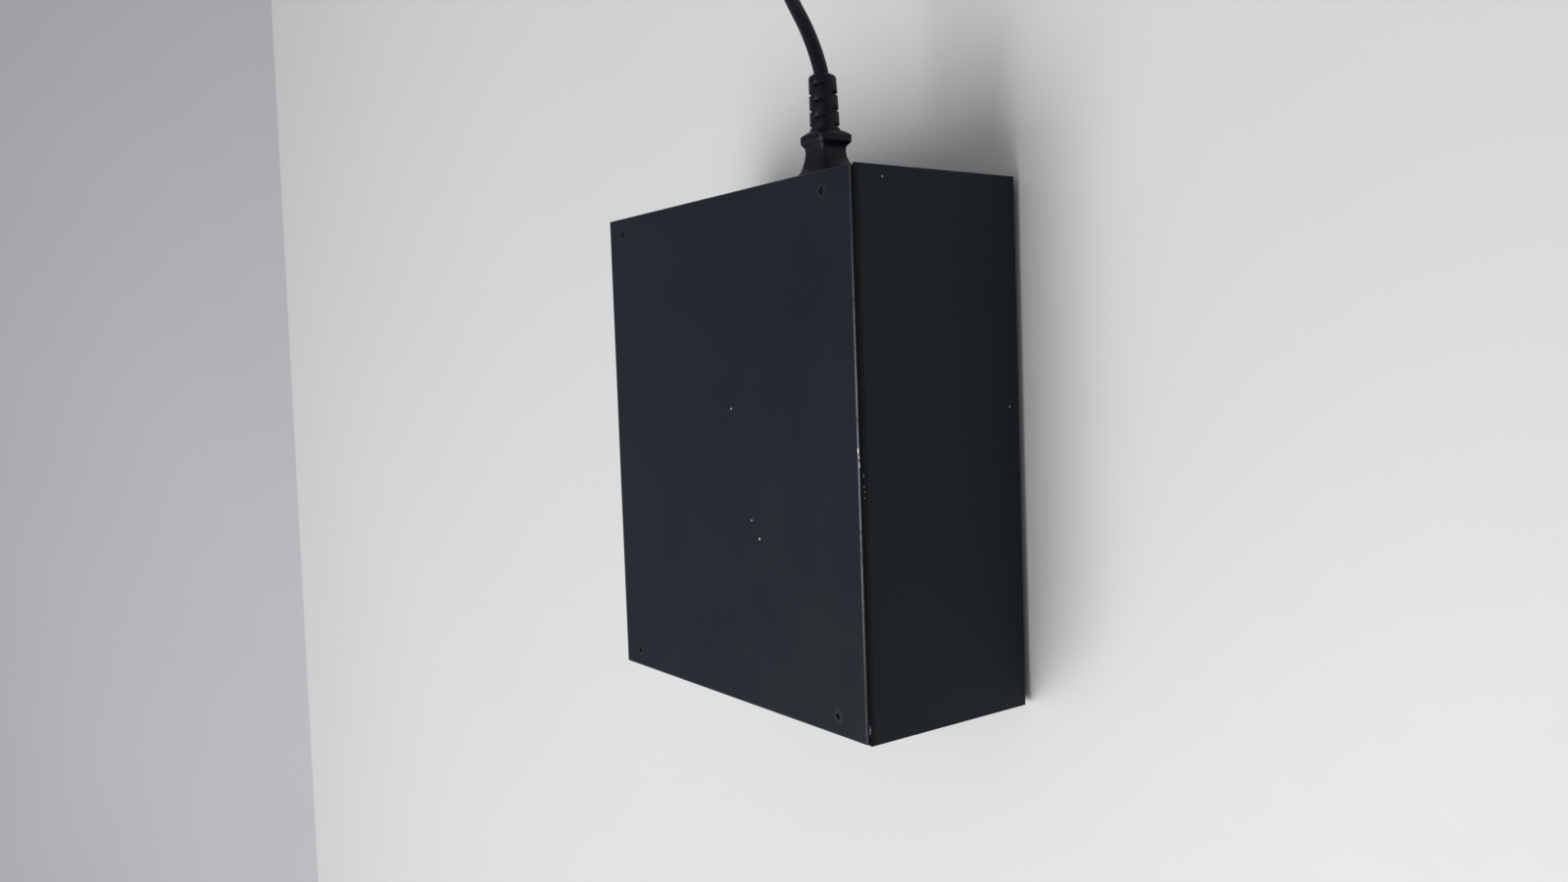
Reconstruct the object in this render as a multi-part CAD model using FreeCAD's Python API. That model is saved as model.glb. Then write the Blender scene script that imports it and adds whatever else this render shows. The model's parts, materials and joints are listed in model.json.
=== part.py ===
import FreeCAD, Part
import math
import os

# Mains-powered, eight-channel Power over Ethernet injector in a folded sheet steel case,
# with a detachable C13 mains lead. Millimetres. The origin is on the resting plane, under
# the middle of the case. +Z is up, -Y is the front (jacks and lamps), +Y is the rear
# (mains inlet, switch and fan), and +X is the side beside the inlet.

# ---- Case -----------------------------------------------------------------------------
CASE_W = 215.0
CASE_L = 250.0
CASE_H = 97.5
FOOT_H = 4.0
SHEET = 1.2
BEND_R = 2.0
SIDE_FIT = 0.2
TOP_FLANGE = 17.0
LOW_FLANGE = 14.0
LIP_H = 12.0
LIP_RELIEF = 20.0

# ---- Fasteners ------------------------------------------------------------------------
THREAD_GAP = 0.05
COVER_SCREW_R = 1.75
COVER_HEAD_R = 3.25
COVER_SCREW_L = 8.0
COVER_SCREW_FROM_END = 9.3
COVER_SCREW_FROM_NEAR_SIDE = 21.0
COVER_SCREW_FROM_FAR_SIDE = 16.0
M3_R = 1.5
M3_HOLE_R = 1.7
M3_HEAD_R = 2.75
M3_HEAD_H = 1.8
M3_NUT_FLATS = 5.5
M3_NUT_H = 2.4
M4_R = 1.95
M4_HOLE_R = 2.2
M4_HEAD_R = 3.6
M4_HEAD_H = 2.4
M4_NUT_FLATS = 7.0
M4_NUT_H = 3.2
PANEL_SCREW_PITCH = 80.0

# ---- Feet -----------------------------------------------------------------------------
FOOT_R = 7.0
FOOT_TOE_R = 6.0
FOOT_INSET_X = 16.0
FOOT_INSET_Y = 18.0
FOOT_RECESS_R = 3.4
FOOT_RECESS_H = 2.3

# ---- Network jacks --------------------------------------------------------------------
PORTS = 8
PORT_PITCH = 14.0
JACK_ROW_H = 13.2
JACK_DEPTH = 28.0
JACK_PROUD = 1.0
JACK_WALL = 1.15
PLUG_W = 11.7
PLUG_H = 8.2
LATCH_W = 6.2
LATCH_H = 2.2
PLUG_DEPTH = 14.0
JACK_FIT = 0.3
SHIELD = 0.3
CONTACTS = 8
CONTACT_PITCH = 1.02
CONTACT_T = 0.4
CONTACT_L = 9.0
CONTACT_ROOT_GAP = 0.1
CONTACT_RISE = 1.7
JACK_FROM_BOARD_END = 14.0
BOARD_PAST_JACKS = 41.7
SHIELD_BEHIND_PANEL = 0.2

# ---- Lamps ----------------------------------------------------------------------------
PIPE = 2.6
PIPE_FIT = 0.1
PIPE_PROUD = 0.5
PIPE_ABOVE_JACKS = 6.0
POWER_PIPE_GAP = 16.0
CARRIER_L = 8.0
CARRIER_FROM_JACK_BACK = 4.0
CARRIER_WALL = 2.0
LAMP_W = 2.0
LAMP_L = 1.6
LAMP_H = 1.2

# ---- Front vents ----------------------------------------------------------------------
VENT_W = 3.0
VENT_H = 20.0
VENT_PITCH = 7.0
VENT_DROP = 20.0
VENTS = 23

# ---- Circuit boards -------------------------------------------------------------------
BOARD_T = 1.6
STANDOFF_H = 8.0
STANDOFF_FLATS = 6.0
SPIGOT_R = 2.1
BOARD_HOLE_INSET = 5.0
POE_BOARD_L = 112.0
POE_BOARD_FROM_WALL = 9.0
POE_BOARD_FROM_PANEL = 1.0
PSU_BOARD_W = 130.0
PSU_BOARD_L = 88.0
PSU_BOARD_FROM_WALL = 6.0
PSU_BOARD_FROM_PANEL = 34.0

# ---- Mains inlet and its connector ----------------------------------------------------
INLET_FROM_SIDE = 42.2
INLET_DROP = 20.0
INLET_FLANGE_W = 50.0
INLET_FLANGE_H = 24.0
INLET_FLANGE_T = 2.5
INLET_SCREW_PITCH = 40.0
INLET_W = 27.4
INLET_H = 20.0
INLET_CHAMFER = 5.0
INLET_PROUD = 0.4
INLET_BACK = 19.0
CAVITY_W = 24.6
CAVITY_H = 16.9
CAVITY_CHAMFER = 4.5
CAVITY_DEPTH = 16.8
PLUG_IN_FIT = 0.3
PIN_W = 2.0
PIN_H = 4.0
PIN_PITCH = 14.0
EARTH_RISE = 4.0
PIN_RECESS = 3.4
TAB_L = 9.0
SLEEVE_GAP = 0.35
SLEEVE_T = 0.4
CONNECTOR_GAP = 1.1
RELIEF_END_R = 6.35
RELIEF_ROOT_R = 6.9
RELIEF_L = 25.7
RELIEF_GROOVES = 3
RELIEF_FIRST_GROOVE = 1.6
RELIEF_GROOVE_W = 1.2
RELIEF_GROOVE_DEPTH = 1.6
# Sections of the moulded grip: distance beyond the shoulder, width, height, top chamfer.
GRIP = (
    (0.0, 27.0, 20.0, 4.6),
    (1.8, 24.5, 17.8, 3.9),
    (4.2, 20.5, 16.0, 2.7),
    (6.1, 17.6, 14.8, 1.6),
    (8.0, 15.2, 14.1, 0.9),
    (10.4, 14.0, 13.6, 0.7),
    (12.6, 14.6, 14.2, 0.9),
    (14.4, 18.0, 16.6, 2.0),
    (17.6, 18.5, 17.0, 2.4),
    (19.7, 13.6, 13.6, 3.9),
)

# ---- Mains switch ---------------------------------------------------------------------
SWITCH_FROM_INLET = 48.0
SWITCH_DROP = 25.0
BEZEL_W = 15.0
BEZEL_H = 21.0
BEZEL_T = 2.0
SWITCH_W = 12.9
SWITCH_H = 19.2
SWITCH_BACK = 18.0
SWITCH_TAB_RISE = 5.0
ROCKER_HALF_W = 4.4
ROCKER_HALF_H = 7.0
ROCKER_TIP = 3.8
ROCKER_DIP = 2.6
ROCKER_ROOT = 3.0
ROCKER_TILT = 10.0
ROCKER_SIDE_GAP = 0.4
ROCKER_END_GAP = 0.9
ROCKER_WELL = 4.2
PIVOT_DEPTH = 1.0
TRUNNION_R = 1.0
TRUNNION_L = 1.2
TRUNNION_FIT = 0.05
TRUNNION_END_GAP = 0.35

# ---- Fan ------------------------------------------------------------------------------
FAN_SIZE = 60.0
FAN_T = 25.0
FAN_HOLES = 50.0
FAN_BORE_R = 28.2
FAN_FROM_FAR_SIDE = 50.0
FAN_RISE = 50.0
STRUT_T = 3.0
STRUT_W = 3.2
MOTOR_R = 13.0
BEARING_TUBE_R = 4.0
BEARING_TUBE_L = 15.0
BUSH_R = 2.6
SHAFT_R = 1.5
SHAFT_FIT = 0.04
STATOR_R = 10.2
HUB_R = 14.0
HUB_WALL = 1.4
BLADES = 7
BLADE_R = 27.5
BLADE_T = 1.4
BLADE_PITCH = 42.0
HUB_END_GAP = 1.2
ROTOR_L = 17.5
GUARD_WIRE_R = 0.7
GUARD_RINGS = (9.0, 16.5, 24.0, 31.0)
GUARD_RING_RISE = 0.9
GUARD_EYE_R = 3.8
GUARD_EYE_T = 1.6

# ---- Output board parts ---------------------------------------------------------------
DATA_BLOCK_W = 12.0
DATA_BLOCK_L = 15.0
DATA_BLOCK_H = 6.0
DATA_BLOCK_BACK = 7.0
DATA_LEGS = 6
DATA_LEG_PITCH = 2.0
DATA_LEG_W = 0.6
DATA_LEG_T = 0.4
DATA_LEG_REACH = 1.5
CHIPS = 2
CHIP = 12.0
CHIP_T = 1.0
CHIP_BACK = 30.0
CHIP_LEGS = 10
CHIP_LEG_PITCH = 1.2
CHIP_LEG_W = 0.5
CHIP_LEG_T = 0.25
CHIP_RISE = 0.1
CHANNEL_CAP_R = 4.0
CHANNEL_CAP_H = 11.5
CHANNEL_CAP_BACK = 52.0
OUT_TERMINAL_FROM_END = 26.0
OUT_TERMINAL_FROM_REAR = 30.0

# ---- Power supply parts ---------------------------------------------------------------
CORE_FROM_END = 42.0
CORE_BEHIND_MIDDLE = 4.0
CORE_RISE = 1.0
WINDING_CORNER_R = 5.0
BULK_FROM_END = 4.0
BULK_FROM_FRONT = 14.0
OUT_CAP_FROM_END = 9.0
OUT_CAP_FROM_FRONT = 20.0
OUT_CAPS = 4
FIN_T = 1.6
FIN_RISE = 4.0
FRONT_SINK = (34.0, 8.0)
REAR_SINK = (24.0, 9.0)
FRONT_SINK_L = 52.0
DEVICES_PER_SINK = 2
DEVICE_FROM_END = 8.0
DEVICE_PITCH = 22.0
DEVICE_RISE = 12.0
DEVICE_LEG_PITCH = 2.54
DEVICE_LEG_W = 0.8
DEVICE_LEG_T = 0.6
CHOKE_FROM_END = 0.5
CHOKE_FROM_REAR = 32.0
CHOKE_FOOT_W = 20.0
CHOKE_FOOT_H = 3.0
FILM_CAP = (22.0, 9.0, 18.0)
FILM_CAP_SPOT = (34.0, 23.5)
FUSE_SPOT = (44.0, 30.0)
FUSE_R = 2.5
FUSE_L = 20.0
FUSE_RISE = 6.0
CLIP_L = 5.0
CLIP_HALF_W = 3.2
CLIP_MOUTH = 1.8
CLIP_ABOVE_AXIS = 2.0
MAINS_TERMINAL_SPOT = (34.0, 13.0)
MAINS_TERMINAL_L = 12.0
SUPPLY_TERMINAL_SPOT = (12.0, 3.0)
TERMINAL_SCREW_R = 1.7
TERMINAL_SCREW_DEPTH = 3.0
INSULATOR_MARGIN = 2.5
INSULATOR_T = 0.4
CORE_W = 50.0
CORE_D = 20.0
CORE_H = 45.0
CORE_LEG = 14.0
CORE_LIMB = 6.0
CORE_YOKE = 7.0
WINDING_FIT = 0.2
WINDING_BULGE = 11.6
BULK_R = 12.5
BULK_H = 45.0
BULK_PITCH = 28.0
OUT_CAP_R = 6.5
OUT_CAP_H = 25.0
OUT_CAP_PITCH = 15.0
SINK_L = 60.0
SINK_H = 40.0
SINK_T = 3.0
FIN_D = 5.0
FIN_PITCH = 9.0
FINS = 6
DEVICE_W = 10.0
DEVICE_H = 15.0
DEVICE_T = 4.5
TERMINAL_H = 12.0
TERMINAL_MOUTH = 3.0
TERMINAL_MOUTH_RISE = 4.5
MAINS_TERMINAL_W = 22.0
OUT_TERMINAL_W = 15.0
OUT_TERMINAL_L = 9.0
CHOKE_R = 14.0
CHOKE_BORE_R = 6.0
CHOKE_T = 13.0

# ---- Inside wiring --------------------------------------------------------------------
WIRE_R = 1.2
EARTH_STUD_L = 12.0
WELD_T = 0.8
LUG_R = 1.9
LUG_T = 0.9
LUG_REACH = 13.0

# ---- Mains lead -----------------------------------------------------------------------
CORD_D = 6.8
# The stretch from the connector to the coil, point by point.
LEAD_INSIDE_RELIEF = 16.5
LEAD_TURNS = (
    (65.3, 169.0, 81.5),
    (60.6, 181.6, 81.1),
    (52.2, 195.5, 79.8),
    (42.0, 207.2, 77.6),
    (29.5, 219.8, 73.4),
    (17.5, 232.0, 66.0),
    (6.5, 244.5, 55.0),
    (-3.0, 258.0, 41.0),
    (-9.6, 273.0, 26.6),
    (-13.0, 289.0, 14.4),
    (-14.0, 304.0, 6.4),
)
LEAD_END = (-13.4, 317.0, 3.6)
COIL_X = 26.0
COIL_Y = 318.0
COIL_R = 36.0
COIL_COLUMNS = 2
COIL_ROWS = 3
TAIL_TURNS = (
    (65.4, 317.0, 10.2),
    (65.6, 301.0, 10.4),
    (69.3, 286.0, 10.5),
    (79.0, 273.5, 10.3),
)
TAIL_END = (93.0, 264.6, 10.2)
TIE_T = 1.0
TIE_W = 9.0
TIE_FIT = 0.5
PLUG_BODY_R = 13.5
PLUG_FLAT = 10.2
PLUG_L = 34.0
PLUG_RELIEF_R = 5.6
PLUG_RELIEF_L = 18.0
BLADE_W = 6.35
BLADE_THICK = 1.5
BLADE_L = 16.0
BLADE_SPACING = 12.7
EARTH_PIN_R = 2.4
EARTH_PIN_L = 19.0
EARTH_PIN_DROP = 6.2

# ---- Planes worked out from the sizes above -------------------------------------------
V = FreeCAD.Vector
HALF_W = CASE_W / 2
HALF_L = CASE_L / 2
TOP = FOOT_H + CASE_H
FLOOR = FOOT_H + SHEET
BASE_X = HALF_W - SHEET - SIDE_FIT
LID_UNDER = TOP - SHEET
FLANGE_UNDER = LID_UNDER - SHEET
FRONT = -HALF_L
FRONT_IN = FRONT + SHEET
REAR = HALF_L
REAR_IN = REAR - SHEET
BOARD_Z = FLOOR + STANDOFF_H
BOARD_TOP = BOARD_Z + BOARD_T
TERMINAL_Z = BOARD_TOP + TERMINAL_MOUTH_RISE
INLET_X = HALF_W - INLET_FROM_SIDE
INLET_Z = TOP - INLET_DROP
INLET_FACE = REAR + INLET_PROUD
SWITCH_X = INLET_X - SWITCH_FROM_INLET
SWITCH_Z = TOP - SWITCH_DROP
FAN_X = -HALF_W + FAN_FROM_FAR_SIDE
FAN_Z = FOOT_H + FAN_RISE
JACK_W = PORTS * PORT_PITCH + 2 * JACK_WALL
POE_BOARD_W = JACK_FROM_BOARD_END + JACK_W + BOARD_PAST_JACKS
POE_X0 = -BASE_X + POE_BOARD_FROM_WALL
POE_Y0 = FRONT_IN + POE_BOARD_FROM_PANEL
PSU_X1 = BASE_X - PSU_BOARD_FROM_WALL
PSU_X0 = PSU_X1 - PSU_BOARD_W
PSU_Y1 = REAR_IN - PSU_BOARD_FROM_PANEL
PSU_Y0 = PSU_Y1 - PSU_BOARD_L
JACK_H = 2 * JACK_ROW_H + JACK_WALL
JACK_X0 = POE_X0 + JACK_FROM_BOARD_END
JACK_Y0 = FRONT - JACK_PROUD
JACK_TOP = BOARD_TOP + JACK_H
PIPE_Z = JACK_TOP + PIPE_ABOVE_JACKS
PIPE_BACK = JACK_Y0 + JACK_DEPTH + 4.0
CORD_R = CORD_D / 2
AXES = {"X": V(1, 0, 0), "Y": V(0, 1, 0), "Z": V(0, 0, 1)}


# ---- Small shape helpers --------------------------------------------------------------
def box(x0, x1, y0, y1, z0, z1):
    """A block between two limits on each axis."""
    return Part.makeBox(x1 - x0, y1 - y0, z1 - z0, V(x0, y0, z0))


def rod(radius, start, length, axis="Z"):
    """A round bar from a start point along one axis."""
    return Part.makeCylinder(radius, length, V(*start), AXES[axis])


def ring(outer, inner, start, length, axis="Z"):
    """A tube from a start point along one axis."""
    return rod(outer, start, length, axis).cut(rod(inner, start, length, axis))


def prism(points, y0, y1):
    """A polygon of X, Z points pushed along Y."""
    corners = [V(x, y0, z) for x, z in points]
    face = Part.Face(Part.makePolygon(corners + corners[:1]))
    return face.extrude(V(0, y1 - y0, 0))


def group(shapes):
    """Separate solids that share one node."""
    return Part.makeCompound(list(shapes))


def join(shapes):
    """One solid out of several that meet."""
    first, *rest = shapes
    return first.fuse(rest).removeSplitter()


def hexagon(flats, start, height, axis="Z"):
    """A hexagonal bar, given across its flats."""
    radius = flats / math.sqrt(3)
    corners = []
    for step in range(7):
        angle = math.radians(60 * step)
        a, b = radius * math.cos(angle), radius * math.sin(angle)
        corners.append(V(a, b, 0) if axis == "Z" else V(a, 0, b))
    bar = Part.Face(Part.makePolygon(corners)).extrude(AXES[axis] * height)
    bar.translate(V(*start))
    return bar


def nut(flats, bore, start, height, axis="Z"):
    """A hexagonal nut on one axis."""
    return hexagon(flats, start, height, axis).cut(rod(bore, start, height, axis))


def edges_between(shape, low, high):
    """The edges that lie wholly between two corners."""
    reach = FreeCAD.BoundBox(*[v - 0.01 for v in low], *[v + 0.01 for v in high])
    return [edge for edge in shape.Edges if reach.isInside(edge.BoundBox)]


def cross_recess(x, y, z, depth, half, axis="Z"):
    """The cross-shaped driver recess in a screw head whose face is at z, or at y."""
    slim = half * 0.28
    if axis == "Z":
        one = box(x - half, x + half, y - slim, y + slim, z - depth, z + 1)
        two = box(x - slim, x + slim, y - half, y + half, z - depth, z + 1)
    else:
        one = box(x - half, x + half, y - depth, y + 1, z - slim, z + slim)
        two = box(x - slim, x + slim, y - depth, y + 1, z - half, z + half)
    return one.fuse(two)


def chamfered(x, z, width, height, top, bottom=0.0):
    """An upright rectangle with its top and bottom corners cut at 45 degrees."""
    a, b = width / 2, height / 2
    points = [(x - a, z - b + bottom), (x - a, z + b - top), (x - a + top, z + b)]
    points += [(x + a - top, z + b), (x + a, z + b - top), (x + a, z - b + bottom)]
    if bottom:
        points += [(x + a - bottom, z - b), (x - a + bottom, z - b)]
    return points


def bent_path(points, share=0.45):
    """Straight runs through the points, joined by tangent arcs, and the arcs' radii."""
    route = [V(*point) for point in points]
    edges = []
    radii = []
    at = route[0]
    for before, corner, after in zip(route, route[1:], route[2:]):
        back = (before - corner).normalize()
        ahead = (after - corner).normalize()
        setback = share * min((before - corner).Length, (after - corner).Length)
        half_turn = (math.pi - back.getAngle(ahead)) / 2
        radius = setback / math.tan(half_turn)
        start = corner + back * setback
        end = corner + ahead * setback
        inward = (back + ahead).normalize()
        middle = corner + inward * (radius / math.cos(half_turn) - radius)
        edges.append(Part.LineSegment(at, start).toShape())
        edges.append(Part.Arc(start, middle, end).toShape())
        radii.append(round(radius, 1))
        at = end
    edges.append(Part.LineSegment(at, route[-1]).toShape())
    return Part.Wire(edges), radii


def tube(points, radius, share=0.45):
    """A round cable along straight runs and tangent arcs."""
    path, radii = bent_path(points, share)
    along = (V(*points[1]) - V(*points[0])).normalize()
    section = Part.Wire(Part.Circle(V(*points[0]), along, radius).toShape())
    solid = path.makePipeShell([section], True, True)
    return solid, radii, path.Length


# ---- Case -----------------------------------------------------------------------------
def cover_screw_places():
    xs = (HALF_W - COVER_SCREW_FROM_NEAR_SIDE, -HALF_W + COVER_SCREW_FROM_FAR_SIDE)
    ends = HALF_L - COVER_SCREW_FROM_END
    return [(x, y) for x in xs for y in (-ends, ends)]


def countersunk_screw(x, y, head_r, shaft_r, length, face, down):
    """A countersunk screw. down is -1 when it is driven downwards and +1 upwards."""
    depth = head_r - shaft_r
    head = Part.makeCone(head_r, shaft_r, depth, V(x, y, face), V(0, 0, down))
    shaft = Part.makeCylinder(shaft_r, length, V(x, y, face), V(0, 0, down))
    screw = join([head, shaft])
    half = head_r * 0.55
    slim = half * 0.28
    low, high = sorted((face - down, face + down * 0.7 * depth))
    cross = box(x - half, x + half, y - slim, y + slim, low, high)
    cross = cross.fuse(box(x - slim, x + slim, y - half, y + half, low, high))
    return screw.cut(cross)


def countersink(x, y, head_r, shaft_r, face, down):
    """The hole that a countersunk screw passes through, a hair larger than it."""
    depth = head_r - shaft_r
    wide = head_r + THREAD_GAP
    seat = Part.makeCone(wide, shaft_r + THREAD_GAP, depth, V(x, y, face), V(0, 0, down))
    through = Part.makeCylinder(shaft_r + 4 * THREAD_GAP, 6, V(x, y, face), V(0, 0, down))
    return seat.fuse(through)


def make_cover():
    shell = box(-HALF_W, HALF_W, FRONT, REAR, FOOT_H, TOP)
    bends = edges_between(shell, (-HALF_W, FRONT, TOP), (HALF_W, REAR, TOP))
    shell = shell.makeFillet(BEND_R, [e for e in bends if e.Length > HALF_L])
    inner_x = HALF_W - SHEET
    room = box(-inner_x, inner_x, FRONT - 1, REAR + 1, FOOT_H - 1, LID_UNDER)
    bends = edges_between(room, (-inner_x, FRONT - 1, LID_UNDER), (inner_x, REAR + 1, LID_UNDER))
    long_bends = [e for e in bends if e.Length > CASE_L]
    room = room.makeFillet(BEND_R - SHEET, long_bends)
    holes = []
    for x, y in cover_screw_places():
        holes.append(countersink(x, y, COVER_HEAD_R, COVER_SCREW_R, TOP, -1))
    return shell.cut([room] + holes)


def folded_panel(outside, inside, z0, flange_z0, flange_depth):
    """A full-width upright panel with a flange along its top, folded inwards."""
    inward = 1 if inside > outside else -1
    y0, y1 = sorted((outside, inside))
    upright = box(-BASE_X, BASE_X, y0, y1, z0, LID_UNDER)
    y0, y1 = sorted((outside, outside + inward * flange_depth))
    flange = box(-BASE_X, BASE_X, y0, y1, flange_z0, LID_UNDER)
    return join([upright, flange])


def bend_clearances():
    """Wedges off the two top corners of the chassis, where the cover's bends are."""
    wedges = []
    for side in (-1, 1):
        corner = (side * (BASE_X + 1), LID_UNDER)
        inner = (side * (BASE_X - BEND_R + SHEET), LID_UNDER)
        lower = (side * (BASE_X + 1), LID_UNDER - BEND_R + SHEET - 1)
        wedges.append(prism([inner, corner, lower], FRONT - 1, REAR + 1))
    return wedges


def round_fold(shape, y, z, radius):
    """Round the full-width fold along X at one height and one depth."""
    fold = edges_between(shape, (-BASE_X, y, z), (BASE_X, y, z))
    return shape.makeFillet(radius, fold)


def make_base_tray():
    tray = folded_panel(REAR, REAR_IN, FOOT_H, FLANGE_UNDER, TOP_FLANGE)
    floor = box(-BASE_X, BASE_X, FRONT, REAR, FOOT_H, FLOOR)
    tray = join([tray, floor])
    tray = round_fold(tray, REAR, FOOT_H, BEND_R)
    tray = round_fold(tray, REAR, LID_UNDER, BEND_R)
    tray = round_fold(tray, REAR_IN, FLANGE_UNDER, BEND_R - SHEET)
    lips = []
    for side in (-1, 1):
        x0, x1 = sorted((side * BASE_X, side * (BASE_X - SHEET)))
        y0, y1 = FRONT + LIP_RELIEF, REAR - LIP_RELIEF
        lips.append(box(x0, x1, y0, y1, FOOT_H, FOOT_H + LIP_H))
    tray = join([tray] + lips)
    holes = [rod(M3_HOLE_R, (x, y, FOOT_H - 1), SHEET + 2) for x, y in foot_places()]
    for x, y in standoff_places():
        holes.append(rod(SPIGOT_R + THREAD_GAP, (x, y, FOOT_H - 1), SHEET + 2))
    for x, y in panel_screw_places():
        holes.append(countersink(x, y, M3_HEAD_R, M3_R, FOOT_H, 1))
    for x, y in cover_screw_places():
        if y > 0:
            holes.append(rod(COVER_SCREW_R + 0.4, (x, y, FLANGE_UNDER - 1), SHEET + 2))
    rim = chamfered(INLET_X, INLET_Z, INLET_W + JACK_FIT, INLET_H + JACK_FIT, INLET_CHAMFER)
    holes.append(prism(rim, REAR_IN - 1, REAR + 1))
    for x in inlet_screw_xs():
        holes.append(rod(M3_HOLE_R, (x, REAR_IN - 1, INLET_Z), SHEET + 2, "Y"))
    a, b = SWITCH_W / 2 + 0.15, SWITCH_H / 2 + 0.15
    slot = (SWITCH_X - a, SWITCH_X + a, REAR_IN - 1, REAR + 1, SWITCH_Z - b, SWITCH_Z + b)
    holes.append(box(*slot))
    holes.append(rod(FAN_BORE_R, (FAN_X, REAR_IN - 1, FAN_Z), SHEET + 2, "Y"))
    for x, z in fan_screw_places():
        holes.append(rod(M4_HOLE_R, (x, REAR_IN - 1, z), SHEET + 2, "Y"))
    return tray.cut(holes + bend_clearances())


def vent(x, z):
    """One upright slot with round ends, through the front panel."""
    half, reach = VENT_W / 2, VENT_H / 2 - VENT_W / 2
    y0 = FRONT - 1
    slot = box(x - half, x + half, y0, FRONT_IN + 1, z - reach, z + reach)
    ends = [rod(half, (x, y0, z + end), SHEET + 2, "Y") for end in (-reach, reach)]
    return slot.fuse(ends)


def make_front_panel():
    panel = folded_panel(FRONT, FRONT_IN, FLOOR, FLANGE_UNDER, TOP_FLANGE)
    low = box(-BASE_X, BASE_X, FRONT, FRONT + LOW_FLANGE, FLOOR, FLOOR + SHEET)
    panel = join([panel, low])
    panel = round_fold(panel, FRONT, FLOOR, BEND_R)
    panel = round_fold(panel, FRONT, LID_UNDER, BEND_R)
    panel = round_fold(panel, FRONT_IN, FLANGE_UNDER, BEND_R - SHEET)
    gap = SHIELD + JACK_FIT
    x0, x1 = JACK_X0 - gap, JACK_X0 + JACK_W + gap
    holes = [box(x0, x1, FRONT - 1, FRONT_IN + 1, BOARD_TOP - gap, JACK_TOP + gap)]
    for x in pipe_xs():
        side = PIPE / 2 + PIPE_FIT
        z0, z1 = PIPE_Z - side, PIPE_Z + side
        holes.append(box(x - side, x + side, FRONT - 1, FRONT_IN + 1, z0, z1))
    for index in range(VENTS):
        x = (index - (VENTS - 1) / 2) * VENT_PITCH
        holes.append(vent(x, TOP - VENT_DROP))
    for x, y in panel_screw_places():
        holes.append(rod(M3_HOLE_R, (x, y, FLOOR - 1), SHEET + 2))
    for x, y in cover_screw_places():
        if y < 0:
            holes.append(rod(COVER_SCREW_R + 0.4, (x, y, FLANGE_UNDER - 1), SHEET + 2))
    return panel.cut(holes + bend_clearances())


def make_cover_screws():
    sunk = TOP - THREAD_GAP
    return group(
        countersunk_screw(x, y, COVER_HEAD_R, COVER_SCREW_R, COVER_SCREW_L, sunk, -1)
        for x, y in cover_screw_places()
    )


def make_cover_nuts():
    bore = COVER_SCREW_R + THREAD_GAP
    low = FLANGE_UNDER - M4_NUT_H
    return group(
        nut(M4_NUT_FLATS, bore, (x, y, low), M4_NUT_H) for x, y in cover_screw_places()
    )


def panel_screw_places():
    y = FRONT + LOW_FLANGE / 2 + 1
    return [(step * PANEL_SCREW_PITCH, y) for step in (-1, 0, 1)]


def make_panel_screws():
    sunk = FOOT_H + THREAD_GAP
    return group(
        countersunk_screw(x, y, M3_HEAD_R, M3_R, COVER_SCREW_L, sunk, 1)
        for x, y in panel_screw_places()
    )


# ---- Feet -----------------------------------------------------------------------------
def foot_places():
    x, y = HALF_W - FOOT_INSET_X, HALF_L - FOOT_INSET_Y
    return [(a * x, b * y) for a in (-1, 1) for b in (-1, 1)]


def make_rubber_feet():
    feet = []
    for x, y in foot_places():
        foot = Part.makeCone(FOOT_TOE_R, FOOT_R, FOOT_H, V(x, y, 0))
        recess = rod(FOOT_RECESS_R, (x, y, -1), FOOT_RECESS_H + 1)
        feet.append(foot.cut([recess, rod(M3_HOLE_R, (x, y, 0), FOOT_H + 1)]))
    return group(feet)


def make_foot_screws():
    screws = []
    low = FOOT_RECESS_H - M3_HEAD_H
    for x, y in foot_places():
        head = rod(M3_HEAD_R, (x, y, low), M3_HEAD_H)
        shaft = rod(M3_R, (x, y, low), M3_HEAD_H + FLOOR - FOOT_RECESS_H + 4)
        half = M3_HEAD_R * 0.55
        slim = half * 0.28
        slot = box(x - half, x + half, y - slim, y + slim, low - 1, low + 1)
        slot = slot.fuse(box(x - slim, x + slim, y - half, y + half, low - 1, low + 1))
        screws.append(join([head, shaft]).cut(slot))
    return group(screws)


def make_m3_nuts():
    """The M3 nuts on the feet, under the front panel's flange and behind the inlet."""
    bore = M3_R + THREAD_GAP
    low = FLOOR + SHEET
    nuts = [nut(M3_NUT_FLATS, bore, (x, y, FLOOR), M3_NUT_H) for x, y in foot_places()]
    for x, y in panel_screw_places():
        nuts.append(nut(M3_NUT_FLATS, bore, (x, y, low), M3_NUT_H))
    y0 = REAR_IN - INLET_FLANGE_T - M3_NUT_H
    for x in inlet_screw_xs():
        nuts.append(nut(M3_NUT_FLATS, bore, (x, y0, INLET_Z), M3_NUT_H, "Y"))
    return group(nuts)


# ---- Boards and their mounting --------------------------------------------------------
def corner_places(x0, x1, y0, y1):
    inset = BOARD_HOLE_INSET
    return [(x, y) for x in (x0 + inset, x1 - inset) for y in (y0 + inset, y1 - inset)]


def poe_hole_places():
    """The two rear corners, and two holes in line with them just behind the jacks."""
    xs = (POE_X0 + BOARD_HOLE_INSET, POE_X0 + POE_BOARD_W - BOARD_HOLE_INSET)
    rear = POE_Y0 + POE_BOARD_L - BOARD_HOLE_INSET
    front = POE_Y0 + LOW_FLANGE + 3 * BOARD_HOLE_INSET
    return [(x, y) for x in xs for y in (front, rear)]


def psu_hole_places():
    return corner_places(PSU_X0, PSU_X1, PSU_Y0, PSU_Y1)


def standoff_places():
    return poe_hole_places() + psu_hole_places()


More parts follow.
